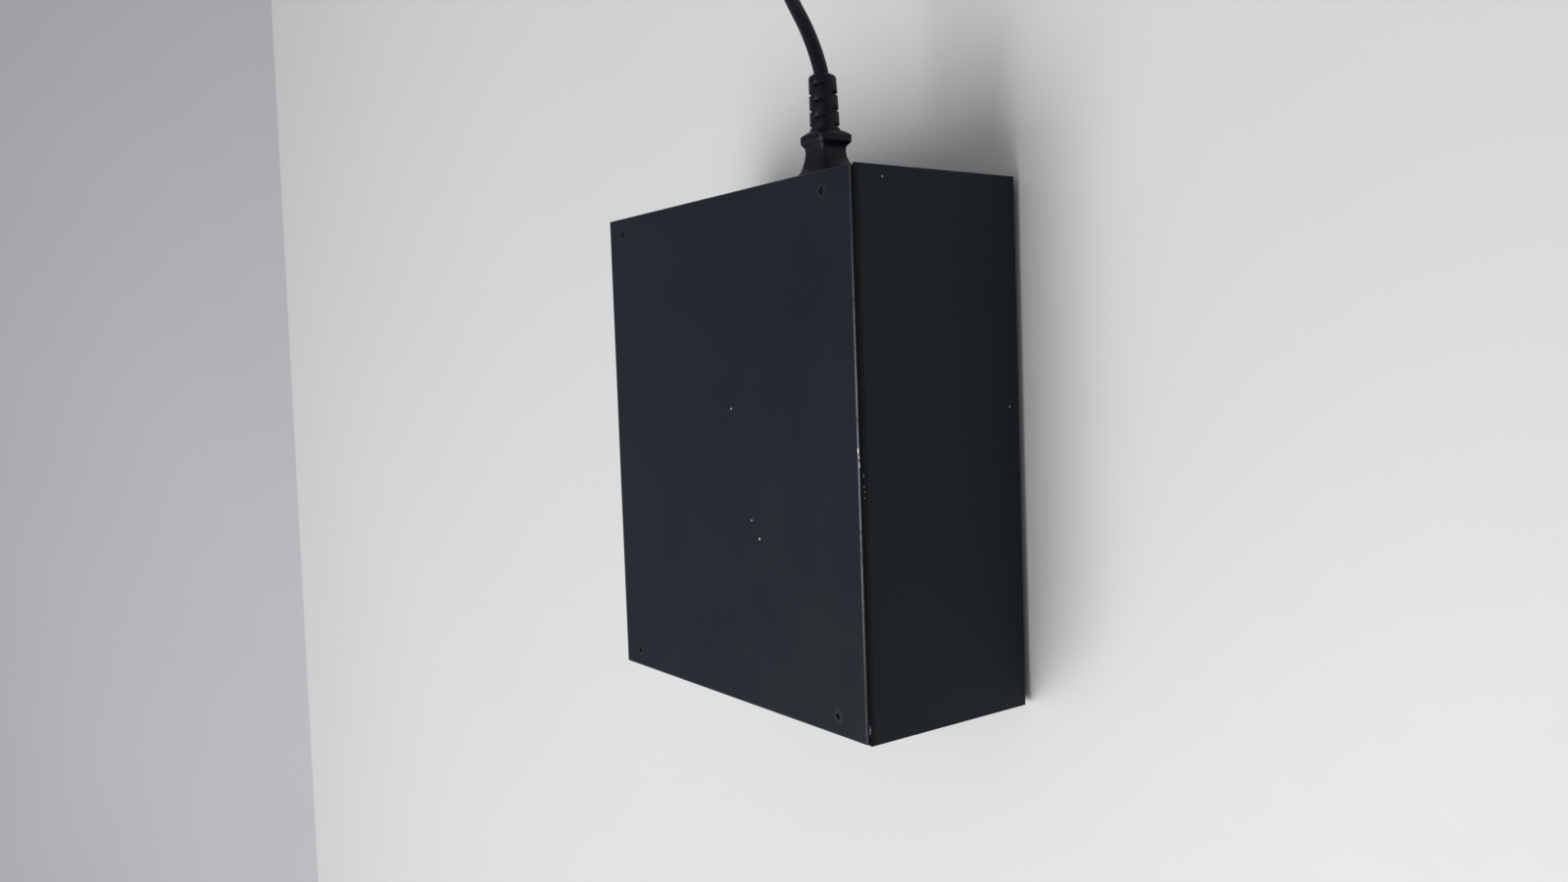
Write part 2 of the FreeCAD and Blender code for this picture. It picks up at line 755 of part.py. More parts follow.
def make_board(x0, x1, y0, y1, hole_places):
    board = box(x0, x1, y0, y1, BOARD_Z, BOARD_TOP)
    return board.cut([rod(M3_HOLE_R, (x, y, BOARD_Z - 1), BOARD_T + 2) for x, y in hole_places])


def make_standoffs(places):
    posts = []
    for x, y in places:
        post = hexagon(STANDOFF_FLATS, (x, y, FLOOR), STANDOFF_H)
        spigot = rod(SPIGOT_R, (x, y, FOOT_H + 0.2), SHEET)
        bore = rod(M3_R + THREAD_GAP, (x, y, FLOOR + 1), STANDOFF_H)
        posts.append(join([post, spigot]).cut(bore))
    return group(posts)


def make_board_screws(places):
    screws = []
    for x, y in places:
        head = rod(M3_HEAD_R, (x, y, BOARD_TOP), M3_HEAD_H)
        shaft = rod(M3_R, (x, y, BOARD_TOP - BOARD_T - 5), BOARD_T + 5 + M3_HEAD_H)
        screw = join([head, shaft])
        top = BOARD_TOP + M3_HEAD_H
        screws.append(screw.cut(cross_recess(x, y, top, 1.0, M3_HEAD_R * 0.55)))
    return group(screws)


# ---- Network jacks and lamps ----------------------------------------------------------
def port_xs():
    first = JACK_X0 + JACK_WALL + PORT_PITCH / 2
    return [first + step * PORT_PITCH for step in range(PORTS)]


def port_rows():
    """The middle of each row of sockets, and which way its latch points."""
    low = BOARD_TOP + JACK_WALL / 2 + JACK_ROW_H / 2
    return [(low, -1), (low + JACK_ROW_H, 1)]


def socket_room(x, z, latch):
    """The space inside one socket: the plug, and the slot for its latch."""
    y1 = JACK_Y0 + PLUG_DEPTH
    shift = -latch * LATCH_H / 2
    low, high = z + shift - PLUG_H / 2, z + shift + PLUG_H / 2
    body = box(x - PLUG_W / 2, x + PLUG_W / 2, JACK_Y0 - 1, y1, low, high)
    edge = high if latch > 0 else low
    z0, z1 = sorted((edge - latch, edge + latch * LATCH_H))
    slot = box(x - LATCH_W / 2, x + LATCH_W / 2, JACK_Y0 - 1, y1, z0, z1)
    return body.fuse(slot)


def make_jack_housing():
    x1, y1 = JACK_X0 + JACK_W, JACK_Y0 + JACK_DEPTH
    block = box(JACK_X0, x1, JACK_Y0, y1, BOARD_TOP, JACK_TOP)
    rooms = [socket_room(x, z, latch) for x in port_xs() for z, latch in port_rows()]
    return block.cut(rooms)


def make_jack_shield():
    x0, x1 = JACK_X0 - SHIELD, JACK_X0 + JACK_W + SHIELD
    y0, y1 = FRONT + SHIELD_BEHIND_PANEL, JACK_Y0 + JACK_DEPTH + SHIELD
    shell = box(x0, x1, y0, y1, BOARD_TOP, JACK_TOP + SHIELD)
    room = box(JACK_X0, JACK_X0 + JACK_W, y0 - 1, y1 - SHIELD, BOARD_TOP - 1, JACK_TOP)
    return shell.cut(room)


def make_jack_contacts():
    """Eight sloping spring wires in each socket, on the side away from its latch."""
    wires = []
    y1 = JACK_Y0 + PLUG_DEPTH
    for x in port_xs():
        for z, latch in port_rows():
            wall = z - latch * (LATCH_H / 2 + PLUG_H / 2)
            for step in range(CONTACTS):
                at = x + (step - (CONTACTS - 1) / 2) * CONTACT_PITCH
                low = wall + latch * CONTACT_ROOT_GAP
                tip = wall + latch * CONTACT_RISE
                start = y1 - CONTACT_L
                corners = [V(at, start, low), V(at, start, low + latch * CONTACT_T)]
                corners += [V(at, y1, tip), V(at, y1, tip - latch * CONTACT_T), corners[0]]
                face = Part.Face(Part.makePolygon(corners))
                face.translate(V(-CONTACT_T / 2, 0, 0))
                wires.append(face.extrude(V(CONTACT_T, 0, 0)))
    return group(wires)


def pipe_xs():
    """One lamp above each pair of sockets, and the power lamp beside them."""
    return port_xs() + [JACK_X0 + JACK_W + POWER_PIPE_GAP]


def make_light_pipes():
    """L-shaped clear pipes from the lamps on the board to the front panel."""
    pipes = []
    half = PIPE / 2
    for x in pipe_xs():
        y0 = FRONT - PIPE_PROUD
        level = box(x - half, x + half, y0, PIPE_BACK + PIPE, PIPE_Z - half, PIPE_Z + half)
        drop_z = BOARD_TOP + LAMP_H + PIPE_FIT
        drop = box(x - half, x + half, PIPE_BACK, PIPE_BACK + PIPE, drop_z, PIPE_Z + half)
        pipes.append(join([level, drop]))
    return group(pipes)


def make_light_pipe_carrier():
    """The black bar on the jacks that holds the pipes level."""
    y1 = JACK_Y0 + JACK_DEPTH - CARRIER_FROM_JACK_BACK
    x0, x1 = JACK_X0 + CARRIER_WALL, pipe_xs()[-1] + PIPE + CARRIER_WALL
    z1 = PIPE_Z + PIPE / 2 + CARRIER_WALL
    bar = box(x0, x1, y1 - CARRIER_L, y1, JACK_TOP + SHIELD, z1)
    half = PIPE / 2 + PIPE_FIT
    slots = []
    for x in pipe_xs():
        y0 = y1 - CARRIER_L - 1
        slots.append(box(x - half, x + half, y0, y1 + 1, PIPE_Z - half, PIPE_Z + half))
    return bar.cut(slots)


def make_lamps():
    lamps = []
    middle = PIPE_BACK + PIPE / 2
    y0, y1 = middle - LAMP_L / 2, middle + LAMP_L / 2
    for x in pipe_xs():
        lamps.append(box(x - LAMP_W / 2, x + LAMP_W / 2, y0, y1, BOARD_TOP, BOARD_TOP + LAMP_H))
    return group(lamps)


# ---- Parts on the output board --------------------------------------------------------
def make_data_transformers():
    y0 = PIPE_BACK + PIPE + DATA_BLOCK_BACK
    y1 = y0 + DATA_BLOCK_L
    under = BOARD_TOP + DATA_LEG_T
    blocks = []
    for x in port_xs():
        half = DATA_BLOCK_W / 2
        shapes = [box(x - half, x + half, y0, y1, under, under + DATA_BLOCK_H)]
        for step in range(DATA_LEGS):
            at = x + (step - (DATA_LEGS - 1) / 2) * DATA_LEG_PITCH
            side = (at - DATA_LEG_W / 2, at + DATA_LEG_W / 2)
            shapes.append(box(*side, y0 - DATA_LEG_REACH, y1 + DATA_LEG_REACH, BOARD_TOP, under))
        blocks.append(join(shapes))
    return group(blocks)


def make_controller_chips():
    y0 = PIPE_BACK + PIPE + CHIP_BACK
    z0 = BOARD_TOP + CHIP_RISE
    chips = []
    for step in range(CHIPS):
        x = JACK_X0 + (2 + 4 * step) * PORT_PITCH
        shapes = [box(x - CHIP / 2, x + CHIP / 2, y0, y0 + CHIP, z0, z0 + CHIP_T)]
        for leg in range(CHIP_LEGS):
            at = x + (leg - (CHIP_LEGS - 1) / 2) * CHIP_LEG_PITCH
            side = (at - CHIP_LEG_W / 2, at + CHIP_LEG_W / 2)
            shapes.append(box(*side, y0 - 1, y0 + CHIP + 1, BOARD_TOP, BOARD_TOP + CHIP_LEG_T))
        chips.append(join(shapes))
    return group(chips)


def make_channel_capacitors():
    y = PIPE_BACK + PIPE + CHANNEL_CAP_BACK
    return group(rod(CHANNEL_CAP_R, (x, y, BOARD_TOP), CHANNEL_CAP_H) for x in port_xs())


def terminal_way(x0, width, ways, way):
    """The middle of one way of a terminal block that starts at x0."""
    return x0 + width / ways * (way + 0.5)


def terminal_block(x0, x1, y0, y1, ways, side):
    """A row of screw terminals. Its wire mouths face +Y when side is 1, and -Y at -1."""
    top = BOARD_TOP + TERMINAL_H
    block = box(x0, x1, y0, y1, BOARD_TOP, top)
    mouth, inner = (y1, y1 - TERMINAL_MOUTH) if side > 0 else (y0, y0 + TERMINAL_MOUTH)
    low, high = sorted((mouth + side, inner))
    cuts = []
    for way in range(ways):
        x = terminal_way(x0, x1 - x0, ways, way)
        screw_z = top - TERMINAL_SCREW_DEPTH
        cuts.append(rod(TERMINAL_SCREW_R, (x, (y0 + y1) / 2, screw_z), TERMINAL_SCREW_DEPTH + 1))
        cuts.append(box(x - 1.5, x + 1.5, low, high, TERMINAL_Z - 2, TERMINAL_Z + 2))
    return block.cut(cuts)


def output_terminal_spot():
    x = POE_X0 + POE_BOARD_W - OUT_TERMINAL_FROM_END
    return x, POE_Y0 + POE_BOARD_L - OUT_TERMINAL_FROM_REAR


def make_output_terminal():
    x, y = output_terminal_spot()
    return terminal_block(x, x + OUT_TERMINAL_W, y, y + OUT_TERMINAL_L, 3, 1)


# ---- Parts on the supply board --------------------------------------------------------
def core_spot():
    return PSU_X0 + CORE_FROM_END, (PSU_Y0 + PSU_Y1) / 2 + CORE_BEHIND_MIDDLE


def make_transformer_core():
    x, y = core_spot()
    half_w, half_d = CORE_W / 2, CORE_D / 2
    z0 = BOARD_TOP + CORE_RISE
    core = box(x - half_w, x + half_w, y - half_d, y + half_d, z0, z0 + CORE_H)
    windows = []
    for side in (-1, 1):
        x0, x1 = sorted((x + side * CORE_LEG / 2, x + side * (half_w - CORE_LIMB)))
        z1 = z0 + CORE_H - CORE_YOKE
        windows.append(box(x0, x1, y - half_d - 1, y + half_d + 1, z0 + CORE_YOKE, z1))
    return core.cut(windows)


def make_transformer_winding():
    x, y = core_spot()
    fit = WINDING_FIT
    z0 = BOARD_TOP + CORE_RISE + CORE_YOKE + fit
    z1 = BOARD_TOP + CORE_RISE + CORE_H - CORE_YOKE - fit
    half_w = CORE_W / 2 - CORE_LIMB - fit
    half_d = CORE_D / 2 + WINDING_BULGE
    coil = box(x - half_w, x + half_w, y - half_d, y + half_d, z0, z1)
    upright = [e for e in coil.Edges if abs(e.Length - (z1 - z0)) < 0.01]
    coil = coil.makeFillet(WINDING_CORNER_R, upright)
    leg_w, leg_d = CORE_LEG / 2 + fit, CORE_D / 2 + fit
    return coil.cut(box(x - leg_w, x + leg_w, y - leg_d, y + leg_d, z0 - 1, z1 + 1))


def bulk_places():
    x = PSU_X1 - BULK_R - BULK_FROM_END
    y = PSU_Y0 + BULK_R + BULK_FROM_FRONT
    return [(x, y), (x - BULK_PITCH, y)]


def capacitor(x, y, radius, height):
    """An electrolytic can with its rolled groove and its marked top."""
    can = rod(radius, (x, y, BOARD_TOP), height)
    groove = ring(radius + 1, radius * 0.94, (x, y, BOARD_TOP + height * 0.1), radius * 0.1)
    dish = rod(radius * 0.8, (x, y, BOARD_TOP + height - 0.5), 1)
    return can.cut([groove, dish])


def make_bulk_capacitors():
    return group(capacitor(x, y, BULK_R, BULK_H) for x, y in bulk_places())


def make_output_capacitors():
    x = PSU_X0 + OUT_CAP_FROM_END
    y = PSU_Y0 + OUT_CAP_FROM_FRONT
    places = [(x, y + step * OUT_CAP_PITCH) for step in range(OUT_CAPS)]
    return group(capacitor(a, b, OUT_CAP_R, OUT_CAP_H) for a, b in places)


def sink_spots():
    """Each plate's low-X end, its Y, its length, and the side its fins are on."""
    front = (PSU_X0 + FRONT_SINK[0], PSU_Y0 + FRONT_SINK[1], FRONT_SINK_L, -1)
    rear = (PSU_X0 + REAR_SINK[0], PSU_Y1 - REAR_SINK[1], SINK_L, 1)
    return [front, rear]


def make_heat_sinks():
    sinks = []
    z0, z1 = BOARD_TOP, BOARD_TOP + SINK_H
    for x, y, length, side in sink_spots():
        shapes = [box(x, x + length, y, y + SINK_T, z0, z1)]
        y0, y1 = (y + SINK_T, y + SINK_T + FIN_D) if side > 0 else (y - FIN_D, y)
        for step in range(FINS):
            at = x + 2 + step * FIN_PITCH
            if at + FIN_T <= x + length:
                shapes.append(box(at, at + FIN_T, y0, y1, z0 + FIN_RISE, z1))
        sinks.append(join(shapes))
    return group(sinks)


def make_power_devices():
    """Flat transistor packages against the heat sinks, each with three legs."""
    devices = []
    for x, y, _, side in sink_spots():
        y0, y1 = (y - DEVICE_T, y) if side > 0 else (y + SINK_T, y + SINK_T + DEVICE_T)
        z0 = BOARD_TOP + DEVICE_RISE
        middle = (y0 + y1) / 2
        thick = (middle - DEVICE_LEG_T / 2, middle + DEVICE_LEG_T / 2)
        for step in range(DEVICES_PER_SINK):
            at = x + DEVICE_FROM_END + step * DEVICE_PITCH
            shapes = [box(at, at + DEVICE_W, y0, y1, z0, z0 + DEVICE_H)]
            for leg in (-1, 0, 1):
                leg_x = at + DEVICE_W / 2 + leg * DEVICE_LEG_PITCH
                wide = (leg_x - DEVICE_LEG_W / 2, leg_x + DEVICE_LEG_W / 2)
                shapes.append(box(*wide, *thick, BOARD_TOP, z0))
            devices.append(join(shapes))
    return group(devices)


def make_mains_choke():
    x, y = PSU_X1 - CHOKE_R - CHOKE_FROM_END, PSU_Y1 - CHOKE_FROM_REAR
    z = BOARD_TOP + CHOKE_R + 1
    y0, y1 = y - CHOKE_T / 2, y + CHOKE_T / 2
    body = ring(CHOKE_R, CHOKE_BORE_R, (x, y0, z), CHOKE_T, "Y")
    half = CHOKE_FOOT_W / 2
    return join([body, box(x - half, x + half, y0, y1, BOARD_TOP, BOARD_TOP + CHOKE_FOOT_H)])


def make_film_capacitor():
    x, y = PSU_X1 - FILM_CAP_SPOT[0], PSU_Y1 - FILM_CAP_SPOT[1]
    width, depth, height = FILM_CAP
    return box(x, x + width, y, y + depth, BOARD_TOP, BOARD_TOP + height)


def fuse_spot():
    return PSU_X1 - FUSE_SPOT[0], PSU_Y1 - FUSE_SPOT[1]


def make_mains_fuse():
    x, y = fuse_spot()
    return rod(FUSE_R, (x - FUSE_L / 2, y, BOARD_TOP + FUSE_RISE), FUSE_L, "X")


def make_fuse_clips():
    """Two spring clips that the fuse is pushed into from above."""
    x, y = fuse_spot()
    z = BOARD_TOP + FUSE_RISE
    low, high = x - FUSE_L / 2 - 1, x + FUSE_L / 2 + 1
    seat = rod(FUSE_R, (low, y, z), high - low, "X")
    mouth = box(low, high, y - CLIP_MOUTH, y + CLIP_MOUTH, z, z + CLIP_ABOVE_AXIS + 1)
    clips = []
    for start in (low + 2, high - 2 - CLIP_L):
        y0, y1 = y - CLIP_HALF_W, y + CLIP_HALF_W
        clip = box(start, start + CLIP_L, y0, y1, BOARD_TOP, z + CLIP_ABOVE_AXIS)
        clips.append(clip.cut([seat, mouth]))
    return group(clips)


def mains_terminal_spot():
    return PSU_X1 - MAINS_TERMINAL_SPOT[0], PSU_Y1 - MAINS_TERMINAL_SPOT[1]


def make_mains_terminal():
    x, y = mains_terminal_spot()
    return terminal_block(x, x + MAINS_TERMINAL_W, y, y + MAINS_TERMINAL_L, 3, 1)


def supply_output_spot():
    return PSU_X0 + SUPPLY_TERMINAL_SPOT[0], PSU_Y0 + SUPPLY_TERMINAL_SPOT[1]


def make_supply_terminal():
    x, y = supply_output_spot()
    return terminal_block(x, x + OUT_TERMINAL_W, y, y + OUT_TERMINAL_L, 3, -1)


def make_insulator_sheet():
    gap = INSULATOR_MARGIN
    z1 = FLOOR + INSULATOR_T
    sheet = box(PSU_X0 - gap, PSU_X1 + gap, PSU_Y0 - gap, PSU_Y1 + gap, FLOOR, z1)
    reach = STANDOFF_FLATS / math.sqrt(3) + 0.5
    return sheet.cut([rod(reach, (x, y, FLOOR - 1), 3) for x, y in psu_hole_places()])


# ---- Mains inlet ----------------------------------------------------------------------
def inlet_screw_xs():
    return (INLET_X - INLET_SCREW_PITCH / 2, INLET_X + INLET_SCREW_PITCH / 2)


def pin_places():
    low, high = INLET_Z - EARTH_RISE / 2, INLET_Z + EARTH_RISE / 2
    return [(INLET_X - PIN_PITCH / 2, low), (INLET_X, high), (INLET_X + PIN_PITCH / 2, low)]


def upright_bar(x, z, width, height, y0, y1):
    return box(x - width / 2, x + width / 2, y0, y1, z - height / 2, z + height / 2)


def make_inlet_pins():
    y0, y1 = INLET_FACE - INLET_BACK - TAB_L, INLET_FACE - PIN_RECESS
    return group(upright_bar(x, z, PIN_W, PIN_H, y0, y1) for x, z in pin_places())


def make_inlet_body():
    outline = chamfered(INLET_X, INLET_Z, INLET_W, INLET_H, INLET_CHAMFER)
    body = prism(outline, INLET_FACE - INLET_BACK, INLET_FACE)
    half = INLET_FLANGE_W / 2
    z0, z1 = INLET_Z - INLET_FLANGE_H / 2, INLET_Z + INLET_FLANGE_H / 2
    flange = box(INLET_X - half, INLET_X + half, REAR_IN - INLET_FLANGE_T, REAR_IN, z0, z1)
    cavity = chamfered(INLET_X, INLET_Z, CAVITY_W, CAVITY_H, CAVITY_CHAMFER)
    cuts = [prism(cavity, INLET_FACE - CAVITY_DEPTH, INLET_FACE + 1)]
    for x in inlet_screw_xs():
        cuts.append(rod(M3_HOLE_R, (x, REAR_IN - INLET_FLANGE_T - 1, INLET_Z), 9, "Y"))
    return join([body, flange]).cut(cuts).cut(make_inlet_pins())


def make_inlet_screws():
    screws = []
    for x in inlet_screw_xs():
        head = rod(M3_HEAD_R, (x, REAR, INLET_Z), M3_HEAD_H, "Y")
        shaft = rod(M3_R, (x, REAR - 9, INLET_Z), 9 + M3_HEAD_H, "Y")
        recess = cross_recess(x, REAR + M3_HEAD_H, INLET_Z, 1.0, M3_HEAD_R * 0.55, "Y")
        screws.append(join([head, shaft]).cut(recess))
    return group(screws)


# ---- Mains switch ---------------------------------------------------------------------
def pivot_y():
    return REAR - PIVOT_DEPTH


def make_switch_body():
    x, z = SWITCH_X, SWITCH_Z
    a, b = SWITCH_W / 2, SWITCH_H / 2
    body = box(x - a, x + a, REAR - SWITCH_BACK, REAR, z - b, z + b)
    a, b = BEZEL_W / 2, BEZEL_H / 2
    bezel = box(x - a, x + a, REAR, REAR + BEZEL_T, z - b, z + b)
    a = ROCKER_HALF_W + ROCKER_SIDE_GAP
    b = ROCKER_HALF_H + ROCKER_END_GAP
    y = pivot_y()
    well = box(x - a, x + a, y - ROCKER_WELL, REAR + BEZEL_T + 1, z - b, z + b)
    reach = ROCKER_HALF_W + TRUNNION_L + TRUNNION_END_GAP
    bore = rod(TRUNNION_R + TRUNNION_FIT, (x - reach, y, z), 2 * reach, "X")
    return join([body, bezel]).cut([well, bore])


def make_switch_rocker():
    """The rocker, pressed in at its lower end. It turns about the X axis."""
    y = pivot_y()
    half = ROCKER_HALF_H
    outline = [(ROCKER_TIP, half), (ROCKER_DIP, 0), (ROCKER_TIP, -half), (-0.6, -half)]
    outline += [(-ROCKER_ROOT, -2), (-ROCKER_ROOT, 2), (-0.6, half)]
    corners = [V(SWITCH_X - ROCKER_HALF_W, y + u, SWITCH_Z + v) for u, v in outline]
    face = Part.Face(Part.makePolygon(corners + corners[:1]))
    rocker = face.extrude(V(2 * ROCKER_HALF_W, 0, 0))
    reach = ROCKER_HALF_W + TRUNNION_L
    trunnions = rod(TRUNNION_R, (SWITCH_X - reach, y, SWITCH_Z), 2 * reach, "X")
    rocker = join([rocker, trunnions])
    rocker.rotate(V(SWITCH_X, y, SWITCH_Z), V(1, 0, 0), -ROCKER_TILT)
    return rocker


def make_switch_terminals():
    y1 = REAR - SWITCH_BACK
    return group(
        upright_bar(SWITCH_X, SWITCH_Z + side * SWITCH_TAB_RISE, 0.8, 4.8, y1 - TAB_L, y1)
        for side in (-1, 1)
    )


# ---- Fan ------------------------------------------------------------------------------
def fan_screw_places():
    half = FAN_HOLES / 2
    return [(FAN_X + a * half, FAN_Z + b * half) for a in (-1, 1) for b in (-1, 1)]


def make_fan_frame():
    half = FAN_SIZE / 2
    y0 = REAR_IN - FAN_T
    frame = box(FAN_X - half, FAN_X + half, y0, REAR_IN, FAN_Z - half, FAN_Z + half)
    corners = [e for e in frame.Edges if abs(e.Length - FAN_T) < 0.01]
    frame = frame.makeFillet(3.0, corners)
    cuts = [rod(FAN_BORE_R, (FAN_X, y0 - 1, FAN_Z), FAN_T + 2, "Y")]
    for x, z in fan_screw_places():
        cuts.append(rod(M4_HOLE_R, (x, y0 - 1, z), FAN_T + 2, "Y"))
    frame = frame.cut(cuts)
    strut_y = REAR_IN - STRUT_T
    reach = FAN_BORE_R + 0.5
    bars = []
    for turn in range(4):
        bar = box(MOTOR_R - 1, reach, strut_y, REAR_IN, -STRUT_W / 2, STRUT_W / 2)
        bar.rotate(V(0, 0, 0), V(0, 1, 0), 90 * turn + 20)
        bar.translate(V(FAN_X, 0, FAN_Z))
        bars.append(bar)
    plate = rod(MOTOR_R, (FAN_X, strut_y, FAN_Z), STRUT_T, "Y")
    tube_y = strut_y - BEARING_TUBE_L
    bearing_tube = rod(BEARING_TUBE_R, (FAN_X, tube_y, FAN_Z), BEARING_TUBE_L, "Y")
    bore = rod(BUSH_R, (FAN_X, tube_y - 1, FAN_Z), BEARING_TUBE_L + 1, "Y")
    return join([frame, plate, bearing_tube] + bars).cut(bore)


def make_fan_bush():
    y0 = REAR_IN - STRUT_T - BEARING_TUBE_L
    return ring(BUSH_R, SHAFT_R + SHAFT_FIT, (FAN_X, y0, FAN_Z), BEARING_TUBE_L, "Y")


def make_fan_stator():
    """The wound iron core around the bearing tube, with four poles."""
    y0 = REAR_IN - STRUT_T - BEARING_TUBE_L + 2.5
    length = BEARING_TUBE_L - 4
    core = ring(STATOR_R, BEARING_TUBE_R, (FAN_X, y0, FAN_Z), length, "Y")
    slots = []
    for turn in range(4):
        slot = box(6.5, STATOR_R + 1, y0 - 1, y0 + length + 1, -1.5, 1.5)
        slot.rotate(V(0, 0, 0), V(0, 1, 0), 90 * turn + 45)
        slot.translate(V(FAN_X, 0, FAN_Z))
        slots.append(slot)
    return core.cut(slots)


def rotor_ends():
    outer = REAR_IN - STRUT_T - HUB_END_GAP
    return outer - ROTOR_L, outer


def make_fan_rotor():
    y0, y1 = rotor_ends()
    cup = rod(HUB_R, (FAN_X, y0, FAN_Z), ROTOR_L, "Y")
    cup = cup.cut(rod(HUB_R - HUB_WALL, (FAN_X, y0 + HUB_WALL, FAN_Z), ROTOR_L, "Y"))
    shaft = rod(SHAFT_R, (FAN_X, y0, FAN_Z), ROTOR_L, "Y")
    sweep = ring(BLADE_R, HUB_R - 0.5, (FAN_X, y0, FAN_Z), ROTOR_L, "Y")
    shapes = [cup, shaft]
    for step in range(BLADES):
        half = BLADE_T / 2
        blade = box(HUB_R - 1, BLADE_R + 2, -ROTOR_L, ROTOR_L, -half, half)
        blade.rotate(V(0, 0, 0), V(1, 0, 0), BLADE_PITCH)
        blade.rotate(V(0, 0, 0), V(0, 1, 0), 360.0 * step / BLADES)
        blade.translate(V(FAN_X, (y0 + y1) / 2, FAN_Z))
        shapes.append(blade.common(sweep))
    return join(shapes)


def wire_ring(radius, wire, y):
    """A ring of wire around the fan's axis, eight-sided in section."""
    corners = []
    for step in range(9):
        angle = math.radians(45 * step + 22.5)
        corners.append(V(radius + wire * math.cos(angle), wire * math.sin(angle), 0))
    solid = Part.Face(Part.makePolygon(corners)).revolve(V(0, 0, 0), V(0, 1, 0), 360)
    solid.translate(V(FAN_X, y, FAN_Z))
    return solid


def make_fan_guard():
    """A finger guard of wire rings on four spokes, with an eye at each screw."""
    wire = GUARD_WIRE_R
    y = REAR + GUARD_EYE_T / 2
    shapes = [wire_ring(radius, wire, y + GUARD_RING_RISE) for radius in GUARD_RINGS]
    start = GUARD_RINGS[0] - 2 * wire
    reach = math.hypot(FAN_HOLES, FAN_HOLES) / 2 - GUARD_EYE_R + wire
    for turn in range(4):
        bar = rod(wire, (start, 0, 0), reach - start, "X")
        bar.rotate(V(0, 0, 0), V(0, 1, 0), 45 + 90 * turn)
        bar.translate(V(FAN_X, y, FAN_Z))
        shapes.append(bar)
    for x, z in fan_screw_places():
        shapes.append(ring(GUARD_EYE_R, M4_HOLE_R, (x, REAR, z), GUARD_EYE_T, "Y"))
    return join(shapes)


def make_fan_screws():
    screws = []
    head_y = REAR + GUARD_EYE_T
    shaft_y = REAR_IN - FAN_T - M4_NUT_H - 1
    for x, z in fan_screw_places():
        head = rod(M4_HEAD_R, (x, head_y, z), M4_HEAD_H, "Y")
        shaft = rod(M4_R, (x, shaft_y, z), head_y - shaft_y + M4_HEAD_H, "Y")
        recess = cross_recess(x, head_y + M4_HEAD_H, z, 1.3, M4_HEAD_R * 0.55, "Y")
        screws.append(join([head, shaft]).cut(recess))
    return group(screws)


def make_m4_nuts():
    """The M4 nuts on the fan's screws and on the earth stud."""
    y0 = REAR_IN - FAN_T - M4_NUT_H
    bore = M4_R + THREAD_GAP
    nuts = [nut(M4_NUT_FLATS, bore, (x, y0, z), M4_NUT_H, "Y") for x, z in fan_screw_places()]
    x, y = earth_spot()
    nuts.append(nut(M4_NUT_FLATS, bore, (x, y, FLOOR + WELD_T + LUG_T), M4_NUT_H))
    return group(nuts)


# ---- Inside wiring --------------------------------------------------------------------
def make_live_wire():
    """From the inlet's live tab across to the switch's upper tab."""
    x, z = pin_places()[0]
    y = INLET_FACE - INLET_BACK - TAB_L
    end = REAR - SWITCH_BACK - TAB_L
    high = SWITCH_Z + SWITCH_TAB_RISE
    points = [(x, y, z), (x, y - 8, z), (x - 14, y - 11, z + 1), (SWITCH_X + 12, end - 11, high)]
    points += [(SWITCH_X, end - 8, high), (SWITCH_X, end, high)]
    return tube(points, WIRE_R)[0]


def make_switched_wire():
    """From the switch's lower tab down to the supply board's mains terminal."""
    y = REAR - SWITCH_BACK - TAB_L
    low = SWITCH_Z - SWITCH_TAB_RISE
    tx, ty = mains_terminal_spot()
    mouth = terminal_way(tx, MAINS_TERMINAL_W, 3, 0)
    clear = PSU_Y1 + 6
    points = [(SWITCH_X, y, low), (SWITCH_X, y - 6, low), (SWITCH_X + 14, clear, low - 14)]
    points += [(mouth - 10, clear, TERMINAL_Z + 18), (mouth, clear + 1, TERMINAL_Z + 2)]
    points += [(mouth, PSU_Y1 + 2, TERMINAL_Z), (mouth, ty + 12 - TERMINAL_MOUTH, TERMINAL_Z)]
    return tube(points, WIRE_R)[0]


def make_neutral_wire():
    """From the inlet's neutral tab down to the supply board's mains terminal."""
    x, z = pin_places()[2]
    y = INLET_FACE - INLET_BACK - TAB_L
    tx, ty = mains_terminal_spot()
    mouth = terminal_way(tx, MAINS_TERMINAL_W, 3, 2)
    clear = PSU_Y1 + 6
    points = [(x, y, z), (x, y - 5, z), (x + 6, clear, z - 20), (mouth, clear + 2, z - 40)]
    points += [(mouth, clear + 1, TERMINAL_Z + 2), (mouth, PSU_Y1 + 2, TERMINAL_Z)]
    points.append((mouth, ty + 12 - TERMINAL_MOUTH, TERMINAL_Z))
    return tube(points, WIRE_R)[0]


def earth_spot():
    return INLET_X - 21, REAR_IN - 18


def make_earth_stud():
    x, y = earth_spot()
    post = rod(M4_R, (x, y, FLOOR), EARTH_STUD_L)
    weld = rod(4.0, (x, y, FLOOR), WELD_T)
    return join([post, weld])


def make_earth_lug():
    """A ring terminal on the earth stud, with a barrel for its wire."""
    x, y = earth_spot()
    z0 = FLOOR + WELD_T
    barrel = rod(LUG_R, (x + LUG_REACH - 7.5, y, z0 + LUG_R), 7.5, "X")
    plate = rod(4.2, (x, y, z0), LUG_T)
    neck = box(x, x + 6.5, y - 1.8, y + 1.8, z0, z0 + LUG_T)
    return join([plate, neck, barrel]).cut(rod(M4_HOLE_R, (x, y, z0 - 1), 4))


